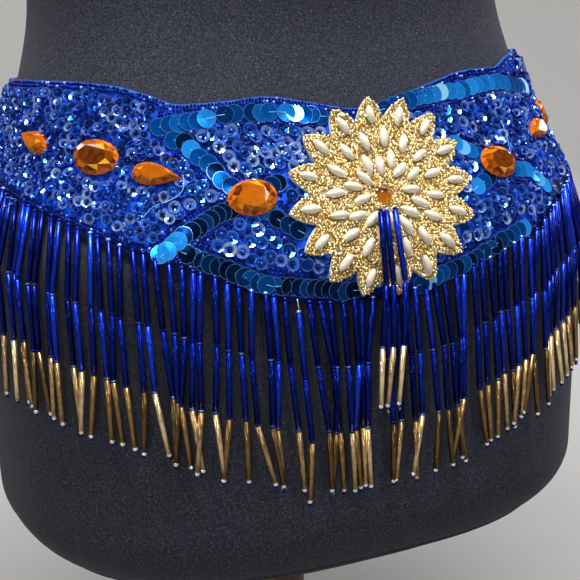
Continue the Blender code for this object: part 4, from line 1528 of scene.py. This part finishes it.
# --- Fringe ---
def strand_roots():
    """Angle of each strand's root, and the lean and lift that the solids have too."""
    angles = np.linspace(-math.pi, math.pi, 1441)
    run = run_along(on_form(angles, lower_edge(angles), BELT_FACE))
    roots = np.interp(run[-1] * (2 * np.arange(STRANDS) + 1) / (2 * STRANDS), run, angles)
    chance = random.Random(7)
    leans = [(chance.uniform(-STRAND_LEAN, STRAND_LEAN), chance.uniform(0.0, STRAND_LIFT))
             for _ in range(STRANDS)]
    return roots, np.array(leans)


def bare_strand(roots):
    return np.abs(np.degrees(roots) - BARE_STRAND).argmin()


def strand_path(angle, drop, across, near):
    """A place down a strand, below its root."""
    level = lower_edge(angle) - SEAM_GAP - TAPE_HEIGHT - drop
    return on_form(walk(angle, level, across, 0.0)[0], level, near)


def medallion_strand(row, stops):
    """Places down one strand that hangs over the medallion."""
    found = []
    for k, drop in enumerate(stops):
        across = np.interp(drop, (stops[0], stops[1], stops[3], stops[5]), row)
        level = MEDALLION_HEIGHT - 0.0080 - drop * MEDALLION_STRAND_REACH
        spot = walk(MEDALLION_ANGLE, level, across, 0.0)
        found.append(on_form(spot[0], level, MEDALLION_STRAND_NEAR + (0.0006 if k else 0.0)))
    return np.array(found)


def build_fringe_tape():
    """Narrow tape under the cloth's lower edge that the strands are sewn to."""
    half = math.pi - 0.002
    angles = np.linspace(-half, half, 301)
    shares = np.linspace(0.0, 1.0, 3)[:, None]
    heights = lower_edge(angles) - SEAM_GAP - TAPE_HEIGHT * (1 - shares)
    across = np.broadcast_to(angles, heights.shape)
    made = wall("fringe_tape", on_form(across, heights, CLOTH_FACE - 0.0002),
                on_form(across, heights, CLOTH_BACK), material("Fringe Tape", cloth_finish, 0.12),
                np.stack([to_run(across), heights], -1))
    add_piece(made, "beaded_cloth")


def build_fringe():
    """Two blue bugles, a gold one and the beads between them on every strand."""
    chance = dice(6)
    roots, leans = strand_roots()
    joint = sizes().rope_bead * JOINT_SHARE
    long, short = sizes().bugle_length, sizes().gold_bugle
    shift = chance.normal(0, ROOT_SPREAD, STRANDS)
    swing = chance.normal(0, SWING_SPREAD, (STRANDS, 2))
    drift = np.convolve(chance.normal(0, 1, STRANDS + 6), np.hanning(9)[1:-1] / 2, "valid")
    drift *= DRIFT_SPREAD
    end_swing = chance.normal(0, TIP_SPREAD, STRANDS)
    tall = chance.normal(0, DROP_SPREAD, STRANDS)
    tall[bare_strand(roots)] += BARE_THREAD
    stops = np.cumsum([-0.0014, long, joint, long, joint, short])
    first = shift + leans[:, 0] * 0.3 + swing[:, 0] + drift
    second = shift + leans[:, 0] * 0.65 + swing.sum(1) + drift * 1.7
    last = shift + leans[:, 0] + swing.sum(1) + drift * 1.7 + end_swing
    across = (shift, first, first * 1.02, second, second * 1.02, last)
    lift = STRAND_NEAR + leans[:, 1]
    depth = chance.uniform(0, 0.0010, STRANDS)
    nodes = [strand_path(roots, drop + tall, side, lift + (0.0003 * k + depth * k / 5))
             for k, (drop, side) in enumerate(zip(stops, across))]
    hung = [medallion_strand(row, stops - stops[0]) for row in MEDALLION_STRANDS]
    nodes = [np.concatenate([points, extra]) for points, extra in zip(nodes, np.stack(hung, 1))]
    count = len(nodes[0])
    blue_tone = np.clip(chance.normal(*BLUE_BUGLE_TONE, count * 2), 0, 1)
    # painted highlight on the gold bugles that hang near one angle
    middle, wide = PAINTED_GLINT_STRANDS
    painted_glint = np.exp(-(((np.degrees(roots) - middle) / wide) ** 2))
    painted_glint = np.append(painted_glint, np.zeros(count - STRANDS))
    gold_tone = np.clip(chance.normal(*GOLD_BUGLE_TONE, count) + 0.8 * painted_glint, 0, 1)
    add_rods("blue_bugles", "bugle_glass", blue_bugle_glass(), np.concatenate([nodes[0], nodes[2]]),
             np.concatenate([nodes[1], nodes[3]]), blue_tone, sizes().bugle_width,
             [*("fringe_%d" % k for k in range(1, 9)), "medallion_fringe"])
    add_rods("gold_bugles", "gold_pearl", material("Gold Bugle", gold_bugle_finish), nodes[4],
             nodes[5], gold_tone, sizes().gold_width)
    build_strand_beads(nodes, chance)


def add_rods(name, slot, finish, tops, ends, tone, width, nodes=()):
    way = ends - tops
    reach = np.linalg.norm(way, axis=-1)
    z = way / reach[:, None]
    side = unit(np.cross(z, np.array([[0.3, 0.2, 1.0]])))
    size = np.stack([np.ones(len(z)), np.ones(len(z)), reach], -1)
    scatter(name, slot, "Bugles", finish, (tops + ends) / 2, side, z, size, tone, nodes=nodes,
            width=width, length=1.0)


def build_strand_beads(nodes, chance):
    """Beads at the root, both joints and the tip of every strand."""
    places, ways, tones = [], [], []
    for stop, (start, end), shift, options in STRAND_BEADS:
        way = unit(nodes[end] - nodes[start])
        places.append(nodes[stop] + way * shift * sizes().rope_bead)
        ways.append(way)
        tones.append(chance.choice(options, len(way)))
    count = len(nodes[5])
    size = np.tile([[1.0, 1.0, 0.66]], (4 * count, 1))
    size[-count:, :2] *= 0.8
    add_beads("strand_beads", navy_glass(), np.concatenate(places), np.concatenate(ways), size,
              np.concatenate(tones), sizes().strand_bead)
    tone = np.clip(chance.normal(0.75, 0.25, count), 0, 1)
    add_beads("tip_beads", silver_lining(), nodes[5] + ways[3] * sizes().rope_bead * 0.55, ways[3],
              1.0, tone, sizes().strand_bead * 1.05)


def add_beads(name, finish, places, ways, size, tone, width):
    side = unit(np.cross(ways, np.array([[0.3, 0.2, 1.0]])))
    scatter(name, "bugle_glass", "Round beads", finish, places, side, ways, size, tone, width=width)


def add_thread(name, places, radius, finish):
    """A round thread along places."""
    places = evenly(places, radius * 5)[0]
    ahead = unit(np.gradient(places, axis=0))
    side = unit(np.cross(ahead, np.array([0.13, -0.2, 1.0])))
    turn = ring(6)[:, None]
    rings = [spot + radius * (a * np.cos(turn) + b * np.sin(turn))
             for spot, a, b in zip(places, side, np.cross(ahead, side))]
    add_piece(loft(name, rings, finish), "beaded_cloth")


def build_threads():
    """Loose ends of sewing thread, and the bare thread of the strand that hangs low."""
    for n, route in enumerate(LOOSE_THREADS):
        angle, height, lift = np.array(route).T
        add_thread("loose_thread_%d" % (n + 1), on_form(np.radians(angle), height, lift),
                   LOOSE_RADIUS, blue_thread())
    roots = strand_roots()[0]
    root = roots[bare_strand(roots)]
    places = [strand_path(root, drop, 0.0004 * k, STRAND_NEAR + 0.0002)
              for k, drop in enumerate((-0.0026, 0.0004, BARE_THREAD - 0.0030))]
    add_thread("bare_thread", places, BARE_RADIUS, white_thread())
    long, short = sizes().bugle_length, sizes().gold_bugle
    tip = 2 * long + short + TIP_DROP
    stops = (0.0, long, long, 2 * long, 2 * long, *(tip + TIP_THREAD_STEP * k for k in range(5)))
    for n, row in enumerate(MEDALLION_STRANDS[1:]):
        bends = [(0.0012 * math.sin(2.2 * k + n), 0.0, 0.0) for k in range(5)]
        add_thread("tip_thread_%d" % (n + 1), medallion_strand(row, stops)[5:] + bends,
                   TIP_RADIUS, white_thread())


# --- Stage ---
def build_floor():
    sides = FLOOR_SIDES
    radius, bend, wall_height = FLOOR_SIZE
    profile = [(1.0, 0.0), (2.5, 0.0), (radius - bend, 0.0)]
    profile += [(radius - bend + bend * math.sin(math.radians(lift)),
                 bend - bend * math.cos(math.radians(lift))) for lift in range(10, 91, 10)]
    profile.append((radius, wall_height))
    points, faces = [(0.0, 0.0, 0.0)], []
    for r, z in profile:
        points += [(r * math.cos(turn), r * math.sin(turn), z) for turn in ring(sides)]
    for k in range(sides):
        n = (k + 1) % sides
        faces.append((0, 1 + k, 1 + n))
        for row in range(len(profile) - 1):
            a = 1 + row * sides
            faces.append((a + k, a + k + sides, a + n + sides, a + n))
    mesh = bpy.data.meshes.new("studio_floor")
    mesh.from_pydata(points, [], faces)
    mesh.materials.append(material("Studio Paper", paper_finish))
    mesh.shade_smooth()
    linked("studio_floor", mesh)


def direction(azimuth, elevation):
    """Unit direction towards an azimuth, 0 at the front, and an elevation, in radians."""
    return Vector((math.sin(azimuth) * math.cos(elevation),
                   -math.cos(azimuth) * math.cos(elevation), math.sin(elevation)))


def aim(made, place, target):
    made.location = place
    made.rotation_mode = "QUATERNION"
    made.rotation_quaternion = (target - place).to_track_quat("-Z", "Y")


def area_light(name, azimuth, elevation, distance, size, power):
    light = bpy.data.lights.new(name, "AREA")
    light.shape = "DISK"
    light.size = size
    light.energy = power
    made = linked(name, light)
    target = Vector((0.0, 0.0, FORM_BASE + 0.2))
    way = direction(math.radians(azimuth), math.radians(elevation))
    aim(made, target + way * distance, target)
    made.visible_camera = False
    return made


def wall_light(name, azimuth, power):
    """A broad light turned from above the part to one side of the wall."""
    made = area_light(name, azimuth, 40, 1.9, 1.6, power)
    distance, height = WALL_AIM
    target = direction(math.radians(azimuth), 0.0) * distance + Vector((0.0, 0.0, height))
    aim(made, made.location.copy(), target)


def build_lights():
    stage = bpy.context.scene.hip_belt_stage
    for *placed, share in BROAD_LIGHTS:
        area_light(*placed, stage.key * share)
    for name, azimuth, share in WALL_LIGHTS:
        wall_light(name, azimuth, stage.key * share)
    for name, azimuth, elevation, size, share in GLINT_LIGHTS:
        area_light(name, azimuth, elevation, GLINT_DISTANCE, size, stage.glint * share)
    world = bpy.data.worlds.new("Soft Sky")
    world.use_nodes = True
    feed(world.node_tree, world.node_tree.nodes["Background"],
         {"color": (0.86, 0.92, 1.0), "strength": stage.sky})
    bpy.context.scene.world = world
    bpy.context.scene.view_settings.view_transform = "Standard"


def build_camera():
    back = direction(CAMERA_AZIMUTH, CAMERA_ELEVATION)
    level = Vector((math.cos(CAMERA_AZIMUTH), math.sin(CAMERA_AZIMUTH), 0.0))
    above = back.cross(level)
    right = level * math.cos(CAMERA_ROLL) + above * math.sin(CAMERA_ROLL)
    up = above * math.cos(CAMERA_ROLL) - level * math.sin(CAMERA_ROLL)
    place = (Vector((0.0, 0.0, FORM_BASE + CAMERA_AIM[1])) + right * CAMERA_AIM[0]
             + back * CAMERA_DISTANCE)
    data = bpy.data.cameras.new("Camera")
    data.lens = CAMERA_LENS
    data.sensor_width = 36.0
    data.clip_start = 0.02
    made = linked("Camera", data)
    made.matrix_world = Matrix.Translation(place) @ Matrix((right, up, back)).transposed().to_4x4()
    bpy.context.scene.camera = made


# --- Operators ---
class MakeForm(bpy.types.Operator):
    """Make the covered dress form"""
    bl_idname = "hipbelt.make_form"
    bl_label = "Dress Form"

    def execute(self, context):
        build_form_skin()
        build_neck_cap()
        return {"FINISHED"}


class MakeStand(bpy.types.Operator):
    """Make the wooden foot, pole and board"""
    bl_idname = "hipbelt.make_stand"
    bl_label = "Stand"

    def execute(self, context):
        build_stand()
        return {"FINISHED"}


class MakeCloth(bpy.types.Operator):
    """Make the belt's cloth pieces and the placket"""
    bl_idname = "hipbelt.make_cloth"
    bl_label = "Belt Cloth"

    def execute(self, context):
        build_cloth()
        build_placket()
        return {"FINISHED"}


class MakeSequins(bpy.types.Operator):
    """Sew the cup sequins on, each with its bead"""
    bl_idname = "hipbelt.make_sequins"
    bl_label = "Cup Sequins"

    def execute(self, context):
        build_cup_sequins()
        return {"FINISHED"}


class MakeRopes(bpy.types.Operator):
    """String the beads along the edges and bands"""
    bl_idname = "hipbelt.make_ropes"
    bl_label = "Bead Ropes"

    def execute(self, context):
        build_ropes()
        return {"FINISHED"}


class MakePaillettes(bpy.types.Operator):
    """Lay the bands of overlapping paillettes"""
    bl_idname = "hipbelt.make_paillettes"
    bl_label = "Paillettes"

    def execute(self, context):
        build_paillettes()
        return {"FINISHED"}


class MakeStones(bpy.types.Operator):
    """Set the cut amber stones"""
    bl_idname = "hipbelt.make_stones"
    bl_label = "Stones"

    def execute(self, context):
        for stone in STONES:
            build_stone(*stone)
        return {"FINISHED"}


class MakeMedallion(bpy.types.Operator):
    """Make the felt star with its gold beads and pearls"""
    bl_idname = "hipbelt.make_medallion"
    bl_label = "Medallion"

    def execute(self, context):
        build_medallion_plate()
        build_pearls()
        build_gold_beads()
        build_middle_stone()
        return {"FINISHED"}


class MakeFringe(bpy.types.Operator):
    """Hang the bugle fringe"""
    bl_idname = "hipbelt.make_fringe"
    bl_label = "Fringe"

    def execute(self, context):
        build_fringe_tape()
        build_fringe()
        build_threads()
        return {"FINISHED"}


class MakeStage(bpy.types.Operator):
    """Make the floor, lights and camera"""
    bl_idname = "hipbelt.make_stage"
    bl_label = "Stage"

    def execute(self, context):
        build_floor()
        build_lights()
        build_camera()
        return {"FINISHED"}


OPERATORS = (MakeForm, MakeStand, MakeCloth, MakeSequins, MakeRopes, MakePaillettes, MakeStones,
             MakeMedallion, MakeFringe, MakeStage)


class HipBeltPanel(bpy.types.Panel):
    """Sizes, colours and steps of the hip belt"""
    bl_idname = "VIEW3D_PT_hip_belt"
    bl_label = "Hip Belt"
    bl_space_type = "VIEW_3D"
    bl_region_type = "UI"
    bl_category = "Hip Belt"

    def draw(self, context):
        layout = self.layout
        for group in (context.scene.hip_belt_sizes, context.scene.hip_belt_colours,
                      context.scene.hip_belt_stage):
            box = layout.box()
            for key in group.bl_rna.properties.keys():
                if key not in ("rna_type", "name"):
                    box.prop(group, key)
        for operator in OPERATORS:
            layout.operator(operator.bl_idname)


GROUPS = (("hip_belt_sizes", HipBeltSizes), ("hip_belt_colours", HipBeltColours),
          ("hip_belt_stage", HipBeltStage))


def register():
    for name, group in GROUPS:
        bpy.utils.register_class(group)
        setattr(bpy.types.Scene, name, PointerProperty(type=group))
    for kind in (*OPERATORS, HipBeltPanel):
        bpy.utils.register_class(kind)


def unregister():
    for kind in reversed((*OPERATORS, HipBeltPanel)):
        bpy.utils.unregister_class(kind)
    for name, group in reversed(GROUPS):
        delattr(bpy.types.Scene, name)
        bpy.utils.unregister_class(group)


def main():
    register()
    steps = bpy.ops.hipbelt
    steps.make_form()
    steps.make_stand()
    steps.make_cloth()
    steps.make_sequins()
    steps.make_ropes()
    steps.make_paillettes()
    steps.make_stones()
    steps.make_medallion()
    steps.make_fringe()
    steps.make_stage()


if __name__ == "__main__":
    main()
